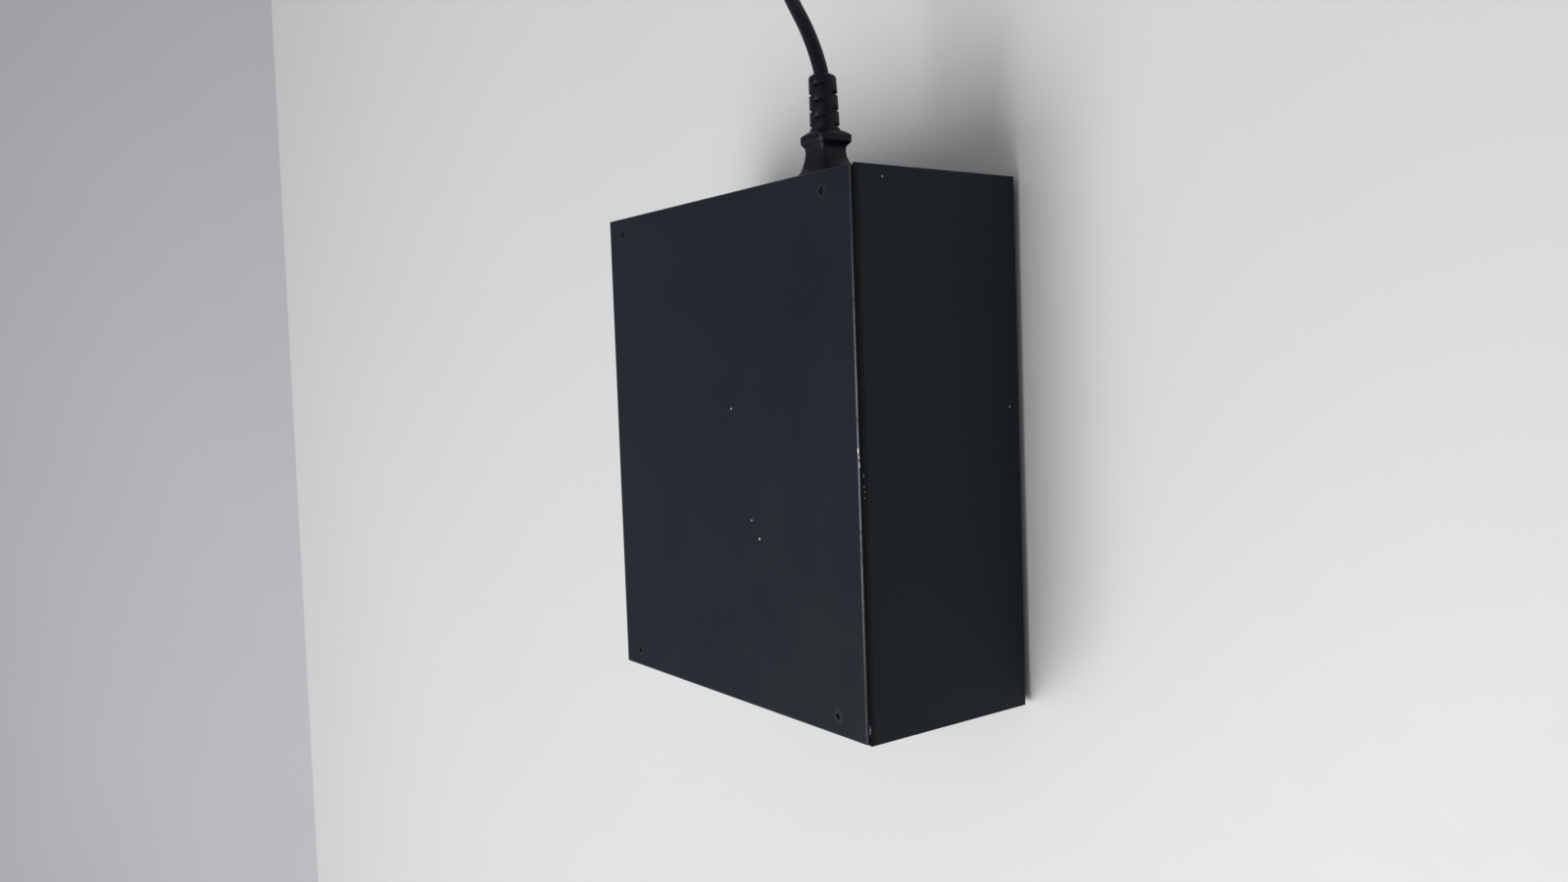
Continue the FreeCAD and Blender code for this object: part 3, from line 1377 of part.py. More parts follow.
def make_earth_wire():
    """From the inlet's earth tab to the lug on the tray's floor."""
    x, z = pin_places()[1]
    y = INLET_FACE - INLET_BACK - TAB_L
    ex, ey = earth_spot()
    low = FLOOR + WELD_T + LUG_R
    end = ex + LUG_REACH
    points = [(x, y, z), (x, y - 6, z), (x + 0.5, y - 2, z - 18), (x + 3, ey, z - 42)]
    points += [(x + 4, ey + 1, low + 14), (end + 8, ey, low), (end, ey, low)]
    return tube(points, WIRE_R)[0]


def make_supply_wires():
    """Two output wires from the supply board forward to the output board."""
    sx, sy = supply_output_spot()
    ox, oy = output_terminal_spot()
    z = TERMINAL_Z
    oy += OUT_TERMINAL_L
    wires = []
    for way, turn_y in ((0, sy - 19), (2, sy - 12)):
        start = terminal_way(sx, OUT_TERMINAL_W, 3, way)
        end = terminal_way(ox, OUT_TERMINAL_W, 3, way)
        points = [(start, sy + TERMINAL_MOUTH, z), (start, sy - 5, z)]
        points += [(start + 6, turn_y, z + 4), (end - 6, turn_y - 1, z + 4)]
        points += [(end, oy + 6, z), (end, oy - TERMINAL_MOUTH, z)]
        wires.append(tube(points, WIRE_R)[0])
    return group(wires)


# ---- Mains lead -----------------------------------------------------------------------
def shoulder_y():
    return INLET_FACE + CONNECTOR_GAP


def relief_end_y():
    return shoulder_y() + GRIP[-1][0] + RELIEF_L


def section_wire(distance, width, height, chamfer):
    y = shoulder_y() + distance
    outline = chamfered(INLET_X, INLET_Z, width, height, chamfer, min(chamfer, 0.6 + chamfer / 3))
    corners = [V(x, y, z) for x, z in outline]
    return Part.makePolygon(corners + corners[:1])


def make_cord_connector():
    """The moulded C13 connector: nose, grip, collar and ribbed strain relief."""
    width, height = CAVITY_W - 2 * PLUG_IN_FIT, CAVITY_H - 2 * PLUG_IN_FIT
    outline = chamfered(INLET_X, INLET_Z, width, height, CAVITY_CHAMFER)
    nose_y = INLET_FACE - CAVITY_DEPTH + 0.6
    nose = prism(outline, nose_y, shoulder_y())
    grip = Part.makeLoft([section_wire(*section) for section in GRIP], True, True)
    root = shoulder_y() + GRIP[-1][0]
    start = V(INLET_X, root, INLET_Z)
    relief = Part.makeCone(RELIEF_ROOT_R, RELIEF_END_R, RELIEF_L, start, V(0, 1, 0))
    end_edges = [e for e in relief.Edges if abs(e.BoundBox.Center.y - root - RELIEF_L) < 0.01]
    relief = relief.makeFillet(1.8, end_edges)
    grooves = []
    pitch = RELIEF_L / (RELIEF_GROOVES + 0.5)
    for step in range(RELIEF_GROOVES):
        at = (INLET_X, root + RELIEF_FIRST_GROOVE + step * pitch, INLET_Z)
        inner = RELIEF_END_R - RELIEF_GROOVE_DEPTH
        grooves.append(ring(RELIEF_ROOT_R + 1, inner, at, RELIEF_GROOVE_W, "Y"))
    sleeve = 2 * (SLEEVE_GAP + SLEEVE_T)
    slots = []
    for x, z in pin_places():
        depth = INLET_FACE - PIN_RECESS + 2.5
        slots.append(upright_bar(x, z, PIN_W + sleeve, PIN_H + sleeve, nose_y - 1, depth))
    lead = tube(lead_points(), CORD_R)[0]
    return join([nose, grip, relief.cut(grooves)]).cut(slots + [lead])


def make_connector_contacts():
    """Spring sleeves in the connector that the inlet's pins run into."""
    y0 = INLET_FACE - CAVITY_DEPTH + 1.6
    y1 = INLET_FACE - PIN_RECESS + 2
    sleeves = []
    for x, z in pin_places():
        gap = 2 * SLEEVE_GAP
        wall = gap + 2 * SLEEVE_T
        outer = upright_bar(x, z, PIN_W + wall, PIN_H + wall, y0, y1)
        sleeves.append(outer.cut(upright_bar(x, z, PIN_W + gap, PIN_H + gap, y0 - 1, y1 + 1)))
    return group(sleeves)


def lead_points():
    return [(INLET_X, relief_end_y() - LEAD_INSIDE_RELIEF, INLET_Z), *LEAD_TURNS, LEAD_END]


def tail_points():
    return [*TAIL_TURNS, TAIL_END]


def checked_tube(name, points):
    """A tube, with its radii printed and its volume compared with its length."""
    solid, radii, length = tube(points, CORD_R)
    share = solid.Volume / (math.pi * CORD_R**2 * length)
    print(name, "length", round(length, 1), "radii", radii, "volume share", round(share, 4))
    return solid


def make_cord_coil():
    """The outer shape of the tied coil: a ring with rounded edges."""
    half = COIL_COLUMNS * CORD_R
    height = COIL_ROWS * CORD_D
    outer = rod(COIL_R + half, (COIL_X, COIL_Y, 0), height)
    coil = outer.cut(rod(COIL_R - half, (COIL_X, COIL_Y, -1), height + 2))
    rims = [e for e in coil.Edges if e.Length > 2 * math.pi * (COIL_R - half) - 1]
    return coil.makeFillet(CORD_R - 0.2, rims)


def make_cord_tie():
    """The hook-and-loop strap around the coil."""
    fit = TIE_FIT
    half = COIL_COLUMNS * CORD_R
    height = COIL_ROWS * CORD_D
    y = COIL_Y + COIL_R
    y0, y1 = y - half - fit, y + half + fit
    x0, x1 = COIL_X - TIE_W / 2, COIL_X + TIE_W / 2
    outer = box(x0, x1, y0 - TIE_T, y1 + TIE_T, 0, height + fit + TIE_T)
    room = box(x0 - 1, x1 + 1, y0, y1, -1, height + fit)
    band = outer.cut(room)
    flap = box(x0, x1, y1 + TIE_T, y1 + 2 * TIE_T, 2, height - 4)
    return join([band, flap])


def plug_frame():
    """The plug's cable end, and its axis, which carries on where the tail stops."""
    before, end = V(*TAIL_TURNS[-1]), V(*TAIL_END)
    return end, (end - before).normalize()


def placed_plug(shape):
    """Move a shape made along +Y at the origin to where the plug lies."""
    end, along = plug_frame()
    angle = math.degrees(math.atan2(-along.x, along.y))
    shape.rotate(V(0, 0, 0), V(0, 0, 1), angle)
    shape.translate(end)
    return shape


def make_mains_plug():
    """A moulded plug, lying flat, with a tapered strain relief."""
    relief = Part.makeCone(PLUG_RELIEF_R, PLUG_RELIEF_R + 2.4, PLUG_RELIEF_L, V(0, 0, 0), V(0, 1, 0))
    start = V(0, PLUG_RELIEF_L, 0)
    body = Part.makeCone(PLUG_RELIEF_R + 2.4, PLUG_BODY_R, PLUG_L - 8, start, V(0, 1, 0))
    face = rod(PLUG_BODY_R, (0, PLUG_RELIEF_L + PLUG_L - 8, 0), 8, "Y")
    plug = join([relief, body, face])
    reach = PLUG_RELIEF_L + PLUG_L + 1
    keep = box(-PLUG_BODY_R, PLUG_BODY_R, -1, reach, -PLUG_FLAT, PLUG_FLAT)
    return placed_plug(plug.common(keep))


def make_plug_blades():
    """Two flat blades and a round earth pin, standing out of the plug's face."""
    y0 = PLUG_RELIEF_L + PLUG_L
    blades = []
    for side in (-1, 1):
        x = side * BLADE_SPACING / 2
        blade = box(x - BLADE_THICK / 2, x + BLADE_THICK / 2, y0, y0 + BLADE_L, -0.5, BLADE_W - 0.5)
        blades.append(placed_plug(blade))
    blades.append(placed_plug(rod(EARTH_PIN_R, (0, y0, -EARTH_PIN_DROP), EARTH_PIN_L, "Y")))
    return group(blades)


# ---- Every node, by name --------------------------------------------------------------
def nodes():
    poe = (POE_X0, POE_X0 + POE_BOARD_W, POE_Y0, POE_Y0 + POE_BOARD_L)
    psu = (PSU_X0, PSU_X1, PSU_Y0, PSU_Y1)
    yield "cover", make_cover()
    yield "base_tray", make_base_tray()
    yield "front_panel", make_front_panel()
    yield "cover_screws", make_cover_screws()
    yield "cover_nuts", make_cover_nuts()
    yield "panel_screws", make_panel_screws()
    yield "m3_nuts", make_m3_nuts()
    yield "rubber_feet", make_rubber_feet()
    yield "foot_screws", make_foot_screws()
    yield "output_board", make_board(*poe, poe_hole_places())
    yield "board_standoffs", make_standoffs(standoff_places())
    yield "board_screws", make_board_screws(standoff_places())
    yield "jack_housing", make_jack_housing()
    yield "jack_shield", make_jack_shield()
    yield "jack_contacts", make_jack_contacts()
    yield "light_pipes", make_light_pipes()
    yield "light_pipe_carrier", make_light_pipe_carrier()
    yield "indicator_lamps", make_lamps()
    yield "data_transformers", make_data_transformers()
    yield "controller_chips", make_controller_chips()
    yield "channel_capacitors", make_channel_capacitors()
    yield "output_terminals", group([make_output_terminal(), make_supply_terminal()])
    yield "supply_board", make_board(*psu, psu_hole_places())
    yield "insulator_sheet", make_insulator_sheet()
    yield "transformer_core", make_transformer_core()
    yield "transformer_winding", make_transformer_winding()
    yield "bulk_capacitors", make_bulk_capacitors()
    yield "output_capacitors", make_output_capacitors()
    yield "heat_sinks", make_heat_sinks()
    yield "power_transistors", make_power_devices()
    yield "mains_choke", make_mains_choke()
    yield "film_capacitor", make_film_capacitor()
    yield "mains_fuse", make_mains_fuse()
    yield "fuse_clips", make_fuse_clips()
    yield "mains_terminal", make_mains_terminal()
    yield "inlet_body", make_inlet_body()
    yield "inlet_pins", make_inlet_pins()
    yield "inlet_screws", make_inlet_screws()
    yield "switch_body", make_switch_body()
    yield "switch_rocker", make_switch_rocker()
    yield "switch_terminals", make_switch_terminals()
    yield "fan_frame", make_fan_frame()
    yield "fan_bush", make_fan_bush()
    yield "fan_stator", make_fan_stator()
    yield "fan_rotor", make_fan_rotor()
    yield "fan_guard", make_fan_guard()
    yield "fan_screws", make_fan_screws()
    yield "m4_nuts", make_m4_nuts()
    yield "earth_stud", make_earth_stud()
    yield "earth_lug", make_earth_lug()
    yield "mains_wires", group(
        [make_live_wire(), make_switched_wire(), make_neutral_wire(), make_earth_wire()]
    )
    yield "supply_wires", make_supply_wires()
    yield "cord_connector", make_cord_connector()
    yield "connector_contacts", make_connector_contacts()
    yield "cord_lead", checked_tube("cord_lead", lead_points())
    yield "cord_coil", make_cord_coil()
    yield "cord_tail", checked_tube("cord_tail", tail_points())
    yield "cord_tie", make_cord_tie()
    yield "mains_plug", make_mains_plug()
    yield "plug_blades", make_plug_blades()


def main():
    os.makedirs("parts", exist_ok=True)
    for name, shape in nodes():
        if not shape.isValid() or not shape.Solids:
            raise ValueError(name + " isn't a valid solid")
        shape.exportStep("parts/" + name + ".step")
        print(name, len(shape.Solids), "solids", round(shape.Volume, 1), "mm3")


main()
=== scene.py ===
"""Looks of a desktop PoE injector and its mains lead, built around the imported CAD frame."""

import json
import logging
import math
from dataclasses import dataclass, field
from enum import Enum

import bmesh
import bpy
from mathutils import Matrix, Vector


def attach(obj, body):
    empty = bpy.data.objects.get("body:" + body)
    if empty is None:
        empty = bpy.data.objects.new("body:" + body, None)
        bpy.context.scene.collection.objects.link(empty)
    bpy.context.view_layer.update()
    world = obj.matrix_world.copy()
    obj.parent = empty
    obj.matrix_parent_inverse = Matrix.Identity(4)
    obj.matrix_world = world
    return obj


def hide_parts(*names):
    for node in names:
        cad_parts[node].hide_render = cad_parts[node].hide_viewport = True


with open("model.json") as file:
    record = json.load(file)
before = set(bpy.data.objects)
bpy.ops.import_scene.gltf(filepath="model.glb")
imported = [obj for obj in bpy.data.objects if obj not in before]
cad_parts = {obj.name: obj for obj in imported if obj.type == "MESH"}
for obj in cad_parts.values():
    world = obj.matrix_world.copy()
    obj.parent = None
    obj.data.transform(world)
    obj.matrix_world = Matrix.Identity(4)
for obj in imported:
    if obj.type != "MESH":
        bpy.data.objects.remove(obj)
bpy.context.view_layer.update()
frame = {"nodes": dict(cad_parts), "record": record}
LOG = logging.getLogger("injector")
MM = 0.001
Colour = tuple[float, float, float]
Point = tuple[float, float, float]


LEAD_BODY = "power_cord"
CORNERS = 32
CORNER_TURN = 360 / CORNERS
CHIP_GRAIN = 2200
CHIP_EDGE = (0.75, 1.05)


class Axis(Enum):
    """A direction that bands are counted along."""

    X = 0
    Y = 1
    Z = 2


class Cut(Enum):
    """Which quarters of the strain relief a groove is cut in."""

    SIDES = 0
    FACES = 1
    ALL_ROUND = 2


# ---- Modelling by hand ----------------------------------------------------------------
def deselect_all() -> None:
    """Leave nothing selected, so the next operator acts on one piece."""
    if bpy.context.object and bpy.context.object.mode != "OBJECT":
        bpy.ops.object.mode_set(mode="OBJECT")
    bpy.ops.object.select_all(action="DESELECT")


def pick(piece: bpy.types.Object) -> None:
    """Make one piece the only selected and active one."""
    deselect_all()
    piece.select_set(True)
    bpy.context.view_layer.objects.active = piece


class Workpiece:
    """One mesh under the hand: a primitive that is shaped in edit mode and then finished."""

    def __init__(self, name: str) -> None:
        """Take the primitive that was just added.

        Args:
            name: The piece's name.
        """
        self.piece = bpy.context.object
        self.piece.name = name
        self.piece.data.name = name
        pick(self.piece)
        bpy.ops.object.transform_apply(location=True, rotation=True, scale=True)

    @classmethod
    def ring(cls, name: str, sides: int, radius: float, at: Point) -> "Workpiece":
        """Start from a filled circle that faces along Y.

        Args:
            name: The piece's name.
            sides: Corners of the circle.
            radius: Its radius in metres.
            at: Its centre.

        Returns:
            The new workpiece.
        """
        deselect_all()
        bpy.ops.mesh.primitive_circle_add(
            vertices=sides,
            radius=radius,
            fill_type="NGON",
            location=at,
            rotation=(math.pi / 2, 0, 0),
        )
        return cls(name)

    @classmethod
    def block(cls, name: str, low: Point, high: Point) -> "Workpiece":
        """Start from a block between two corners.

        Args:
            name: The piece's name.
            low: Its lowest corner.
            high: Its highest corner.

        Returns:
            The new workpiece.
        """
        deselect_all()
        middle = (Vector(low) + Vector(high)) / 2
        size = Vector(high) - Vector(low)
        bpy.ops.mesh.primitive_cube_add(size=1, location=middle, scale=size)
        return cls(name)

    def edit(self) -> None:
        """Go into edit mode with everything selected."""
        pick(self.piece)
        bpy.ops.object.mode_set(mode="EDIT")
        bpy.ops.mesh.select_all(action="SELECT")

    def leave(self) -> None:
        """Go back to object mode."""
        bpy.ops.object.mode_set(mode="OBJECT")

    def select(self, kind: str, test: object) -> int:
        """Select what passes a test, in edit mode.

        Args:
            kind: "verts", "edges" or "faces".
            test: A function of the element that says whether it is wanted.

        Returns:
            How many were selected.
        """
        modes = {"verts": "VERT", "edges": "EDGE", "faces": "FACE"}
        bpy.ops.mesh.select_mode(type=modes[kind])
        bpy.ops.mesh.select_all(action="DESELECT")
        mesh = bmesh.from_edit_mesh(self.piece.data)
        found = [element for element in getattr(mesh, kind) if test(element)]
        for element in found:
            element.select_set(True)
        mesh.select_flush_mode()
        bmesh.update_edit_mesh(self.piece.data)
        return len(found)

    def grow(self, step: Point) -> None:
        """Extrude what is selected by a step."""
        bpy.ops.mesh.extrude_region_move(TRANSFORM_OT_translate={"value": step})

    def shape_ring(self, middle: Vector, targets: list[Point]) -> None:
        """Move each corner of the selected ring to its place.

        Args:
            middle: A point on the axis the corners are counted round.
            targets: Where the corners go, in any order round the axis.
        """

        def bearing(point: Vector) -> float:
            return math.atan2(point[2] - middle[2], point[0] - middle[0])

        mesh = bmesh.from_edit_mesh(self.piece.data)
        ring = sorted((v for v in mesh.verts if v.select), key=lambda v: bearing(v.co))
        goals = sorted(targets, key=bearing)
        moves = [(v.index, Vector(goal) - v.co) for v, goal in zip(ring, goals)]
        bpy.ops.mesh.select_mode(type="VERT")
        for index, move in moves:
            bpy.ops.mesh.select_all(action="DESELECT")
            mesh = bmesh.from_edit_mesh(self.piece.data)
            mesh.verts.ensure_lookup_table()
            mesh.verts[index].select_set(True)
            bpy.ops.transform.translate(value=move)
        mesh = bmesh.from_edit_mesh(self.piece.data)
        mesh.verts.ensure_lookup_table()
        for index, _ in moves:
            mesh.verts[index].select_set(True)
        mesh.select_flush(True)
        bpy.ops.mesh.select_mode(type="FACE")

    def modify(self, kind: str, **settings: object) -> None:
        """Add a modifier and apply it.

        Args:
            kind: The modifier's type.
            settings: Its settings by name.
        """
        pick(self.piece)
        modifier = self.piece.modifiers.new(kind.title(), kind)
        for name, value in settings.items():
            setattr(modifier, name, value)
        bpy.ops.object.modifier_apply(modifier=modifier.name)

    def cut_with(self, tool: bpy.types.Object) -> None:
        """Take another solid out of this one and remove that solid."""
        self.modify("BOOLEAN", object=tool, operation="DIFFERENCE", solver="EXACT")
        bpy.data.objects.remove(tool)

    def face_out(self) -> None:
        """Merge doubles and point every face outwards."""
        self.edit()
        bpy.ops.mesh.remove_doubles(threshold=1e-6)
        bpy.ops.mesh.normals_make_consistent(inside=False)
        self.leave()

    def finish(self, angle: float = 35.0) -> bpy.types.Object:
        """Point the faces outwards and shade the piece.

        Args:
            angle: Edges sharper than this, in degrees, stay crisp.

        Returns:
            The finished object.
        """
        self.face_out()
        pick(self.piece)
        bpy.ops.object.shade_smooth_by_angle(angle=math.radians(angle))
        return self.piece

    def place(self, turn: float, at: Point) -> None:
        """Turn the piece about Z and move it, and put its place into its mesh.

        Args:
            turn: The turn in radians.
            at: Where its own origin goes.
        """
        pick(self.piece)
        self.piece.matrix_world = Matrix.Translation(at) @ Matrix.Rotation(turn, 4, "Z")
        bpy.ops.object.transform_apply(location=True, rotation=True, scale=True)


# ---- Materials ------------------------------------------------------------------------
class Recipe:
    """A procedural material, put together node by node."""

    def __init__(self, name: str) -> None:
        """Start an empty recipe.

        Args:
            name: The material's name.
        """
        self.material = bpy.data.materials.new(name)
        self.material.use_nodes = True
        self.tree = self.material.node_tree
        self.shader = self.tree.nodes["Principled BSDF"]
        self.place = self.put("ShaderNodeTexCoord").outputs["Object"]

    def put(self, kind: str, inputs: dict | None = None, **settings: object) -> bpy.types.Node:
        """Add a node.

        Args:
            kind: The node's type.
            inputs: Values or sockets for its inputs, by name or number.
            settings: Its own settings.

        Returns:
            The node.
        """
        node = self.tree.nodes.new(kind)
        for name, value in settings.items():
            setattr(node, name, value)
        for name, value in (inputs or {}).items():
            self.feed(node.inputs[name], value)
        return node

    def feed(self, socket: bpy.types.NodeSocket, value: object) -> None:
        """Give an input a value, or a link where the value is a socket."""
        if isinstance(value, bpy.types.NodeSocket):
            self.tree.links.new(value, socket)
        else:
            socket.default_value = value

    def noise(
        self, scale: float, detail: float = 2.0, stretch: Point = (1, 1, 1)
    ) -> bpy.types.NodeSocket:
        """Noise between 0 and 1.

        Args:
            scale: Features per metre.
            detail: How many finer layers it has.
            stretch: How much denser it is along each axis.

        Returns:
            The noise.
        """
        spot = self.place
        if tuple(stretch) != (1, 1, 1):
            spot = self.put("ShaderNodeMapping", {"Vector": spot, "Scale": stretch}).outputs[0]
        inputs = {"Vector": spot, "Scale": scale, "Detail": detail}
        return self.put("ShaderNodeTexNoise", inputs).outputs["Fac"]

    def cells(self, scale: float, feature: str = "F1") -> bpy.types.NodeSocket:
        """Distance to the nearest cell point, for grains and specks."""
        inputs = {"Vector": self.place, "Scale": scale}
        return self.put("ShaderNodeTexVoronoi", inputs, feature=feature).outputs["Distance"]

    def calc(self, operation: str, a: object, b: object = 0.0) -> bpy.types.NodeSocket:
        """One sum on numbers or sockets."""
        return self.put("ShaderNodeMath", {0: a, 1: b}, operation=operation).outputs[0]

    def ease(self, value: object, low: float, high: float) -> bpy.types.NodeSocket:
        """0 at low and below, 1 at high and above, smooth between."""
        inputs = {"Value": value, "From Min": low, "From Max": high}
        kind = "ShaderNodeMapRange"
        return self.put(kind, inputs, interpolation_type="SMOOTHSTEP").outputs["Result"]

    def span(self, value: object, low: float, high: float) -> bpy.types.NodeSocket:
        """A 0 to 1 value carried over to low to high."""
        inputs = {"Value": value, "To Min": low, "To Max": high}
        return self.put("ShaderNodeMapRange", inputs).outputs["Result"]

    def blend(self, share: object, first: object, second: object) -> bpy.types.NodeSocket:
        """A mix of two colours, or of colour sockets."""
        node = self.put("ShaderNodeMix", data_type="RGBA")
        pairs = ((node.inputs[0], share), (node.inputs[6], first), (node.inputs[7], second))
        for socket, value in pairs:
            if isinstance(value, tuple):
                value = (*value, 1.0)
            self.feed(socket, value)
        return node.outputs[2]

    def axes(self) -> tuple[bpy.types.NodeSocket, ...]:
        """The x, y and z of the surface point."""
        return tuple(self.put("ShaderNodeSeparateXYZ", {0: self.place}).outputs)

    def spot(self, centre: Point, radii: Point, warp: float = 0.0) -> bpy.types.NodeSocket:
        """1 inside a soft ellipsoid and 0 outside.

        Args:
            centre: Its middle, in millimetres.
            radii: Its reach along each axis, in millimetres.
            warp: How much noise eats into its edge.

        Returns:
            The share.
        """
        scale = tuple(1 / (radius * MM) for radius in radii)
        shift = tuple(-(c * MM) / (r * MM) for c, r in zip(centre, radii))
        inputs = {"Vector": self.place, "Location": shift, "Scale": scale}
        moved = self.put("ShaderNodeMapping", inputs).outputs[0]
        length = self.put("ShaderNodeVectorMath", {0: moved}, operation="LENGTH").outputs["Value"]
        if warp:
            bite = self.calc("MULTIPLY", self.noise(CHIP_GRAIN, 3), warp)
            length = self.calc("ADD", length, bite)
        return self.calc("SUBTRACT", 1.0, self.ease(length, *CHIP_EDGE))

    def relief(self, height: object, depth: float, under: object = None) -> bpy.types.NodeSocket:
        """A bump.

        Args:
            height: The height, 0 to 1.
            depth: How deep it is, in metres.
            under: A bump that it adds to.

        Returns:
            The normal.
        """
        node = self.put("ShaderNodeBump", {"Height": height, "Distance": depth})
        if under is not None:
            self.feed(node.inputs["Normal"], under)
        return node.outputs[0]

    def set(self, **inputs: object) -> None:
        """Feed the shader's own inputs, with _ for a space in their names."""
        for name, value in inputs.items():
            if isinstance(value, tuple):
                value = (*value, 1.0)
            self.feed(self.shader.inputs[name.replace("_", " ")], value)


@dataclass(frozen=True)
class Finish:
    """A surface with a fine grain, two mixed tones and uneven gloss."""

    name: str
    colour: Colour
    second: Colour
    rough: tuple[float, float] = (0.35, 0.5)
    metal: float = 0.0
    grain: float = 1500.0
    depth: float = 0.02 * MM
    stretch: Point = (1, 1, 1)
    patches: float = 60.0
    tones: tuple[float, float] = (0.3, 0.7)
    extras: dict = field(default_factory=dict)

    def make(self) -> bpy.types.Material:
        """Build the material."""
        recipe = Recipe(self.name)
        self.lay(recipe)
        recipe.set(Metallic=self.metal, **self.extras)
        return recipe.material

    def lay(self, recipe: Recipe) -> None:
        """Put the grain, tones and gloss in.

        Args:
            recipe: The material under way.
        """
        patches = recipe.noise(self.patches, 4)
        grain = recipe.noise(self.grain, 3, self.stretch)
        tone = recipe.calc("MULTIPLY", recipe.calc("ADD", patches, grain), 0.5)
        share = recipe.ease(tone, *self.tones)
        recipe.set(Base_Color=recipe.blend(share, self.colour, self.second))
        recipe.set(Roughness=recipe.span(tone, *self.rough))
        recipe.set(Normal=recipe.relief(grain, self.depth))


@dataclass(frozen=True)
class Mark:
    """A chip or speck where bare metal or dust shows, with its sizes in millimetres."""

    centre: Point
    radii: Point
    strength: float = 1.0
    warp: float = 0.0


@dataclass(frozen=True)
class PaintedSteel(Finish):
    """Satin paint on folded sheet: orange peel, worn bend with painted highlight and dark
    reflection, chips, dust.
    """

    bend_x: float = 106.1 * MM
    bend_z: float = 101.0 * MM
    wear_and_highlight_middle: float = -2 * MM
    wear_and_highlight_reach: float = 105 * MM
    line_edges: tuple[float, float] = (0.5 * MM, 0.15 * MM)
    line_drop: float = 0.6 * MM
    line_full: float = 25 * MM
    line_strength: tuple[float, float] = (0.12, 0.8)
    wander: float = 0.12 * MM
    reflection_side: float = 0.5 * MM
    reflection_drop: tuple[float, float] = (4.2 * MM, 2.6 * MM)
    # Colour of the painted dark reflection round the outside of the bend.
    band: Colour = (0.001, 0.0012, 0.0016)
    # Colour of the bend line: rubbed paint, lightened further as a painted highlight.
    rubbed_and_highlight: Colour = (0.23, 0.25, 0.28)
    bare: Colour = (0.78, 0.78, 0.78)
    dust: Colour = (0.55, 0.56, 0.56)
    clouds: float = 22.0
    peel: float = 1400.0
    fine: float = 4200.0
    peel_depth: float = 0.012 * MM
    wear_depth: float = 0.03 * MM
    gloss_drift: tuple[float, float] = (-0.03, 0.05)
    dust_cells: float = 420.0
    dust_size: tuple[float, float] = (0.06, 0.03)
    dust_gate: tuple[float, float] = (0.66, 0.74)
    dust_share: float = 0.35
    dust_rough: float = 0.3
    chip_metal: float = 0.3
    marks: tuple[Mark, ...] = ()
    specks: tuple[Mark, ...] = ()

    def lay(self, recipe: Recipe) -> None:
        """Put the paint, its wear, the painted highlight and dark reflection at the bend, and the
        dust in.

        Args:
            recipe: The material under way.
        """
        tone = recipe.ease(recipe.noise(self.clouds, 5), *self.tones)
        paint = recipe.blend(tone, self.colour, self.second)
        # Painted dark reflection round the bend, laid over the paint colour.
        paint = recipe.blend(self.painted_bend_reflection(recipe), paint, self.band)
        fine = recipe.calc("MULTIPLY", recipe.noise(self.fine, 2), 0.35)
        gloss = recipe.span(recipe.calc("ADD", fine, 0.5), *self.rough)
        gloss = recipe.calc("ADD", gloss, recipe.span(tone, *self.gloss_drift))
        # The bend line is partly rubbed paint and partly a painted highlight.
        line = self.wear_and_highlight_line(recipe)
        chips = 0.0
        for mark in self.marks:
            spot = recipe.spot(mark.centre, mark.radii, mark.warp)
            chips = recipe.calc("MAXIMUM", chips, recipe.calc("MULTIPLY", spot, mark.strength))
        wear_and_highlight = recipe.calc("MAXIMUM", line, chips)
        dust = recipe.ease(recipe.cells(self.dust_cells), *self.dust_size)
        gate = recipe.ease(recipe.noise(90, 2), *self.dust_gate)
        dust = recipe.calc("MULTIPLY", recipe.calc("MULTIPLY", dust, gate), self.dust_share)
        for speck in self.specks:
            spot = recipe.spot(speck.centre, speck.radii, speck.warp)
            dust = recipe.calc("MAXIMUM", dust, recipe.calc("MULTIPLY", spot, speck.strength))
        colour = recipe.blend(chips, recipe.blend(line, paint, self.rubbed_and_highlight), self.bare)
        recipe.set(Base_Color=recipe.blend(dust, colour, self.dust))
        matt = recipe.calc("MULTIPLY", dust, self.dust_rough)
        recipe.set(Roughness=recipe.calc("ADD", gloss, matt))
        recipe.set(Metallic=recipe.calc("MULTIPLY", chips, self.chip_metal))
        skin = recipe.relief(recipe.noise(self.peel, 2), self.peel_depth)
        left = recipe.calc("SUBTRACT", 1.0, wear_and_highlight)
        recipe.set(Normal=recipe.relief(left, self.wear_depth, skin))

    def make(self) -> bpy.types.Material:
        """Build the material."""
        recipe = Recipe(self.name)
        self.lay(recipe)
        recipe.set(**self.extras)
        return recipe.material

    def wear_and_highlight_line(self, recipe: Recipe) -> bpy.types.NodeSocket:
        """The line along the bend, rubbed paint with a painted highlight, strongest in the middle.

        Args:
            recipe: The material under way.

        Returns:
            How much rubbed paint and painted highlight there is there.
        """
        x, y, z = recipe.axes()
        wander = recipe.span(recipe.noise(35, 2), -self.wander, self.wander)
        off = recipe.calc("ABSOLUTE", recipe.calc("SUBTRACT", x, self.bend_x))
        off = recipe.calc("ABSOLUTE", recipe.calc("ADD", off, wander))
        top = recipe.ease(z, self.bend_z - self.line_drop, self.bend_z)
        line = recipe.calc("MULTIPLY", recipe.ease(off, *self.line_edges), top)
        along = recipe.calc("ABSOLUTE", recipe.calc("SUBTRACT", y, self.wear_and_highlight_middle))
        near = recipe.ease(along, self.wear_and_highlight_reach, self.line_full)
        fade = recipe.span(near, *self.line_strength)
        broken = recipe.span(recipe.ease(recipe.noise(420, 3), 0.3, 0.5), 0.35, 1.0)
        return recipe.calc("MULTIPLY", recipe.calc("MULTIPLY", line, fade), broken)

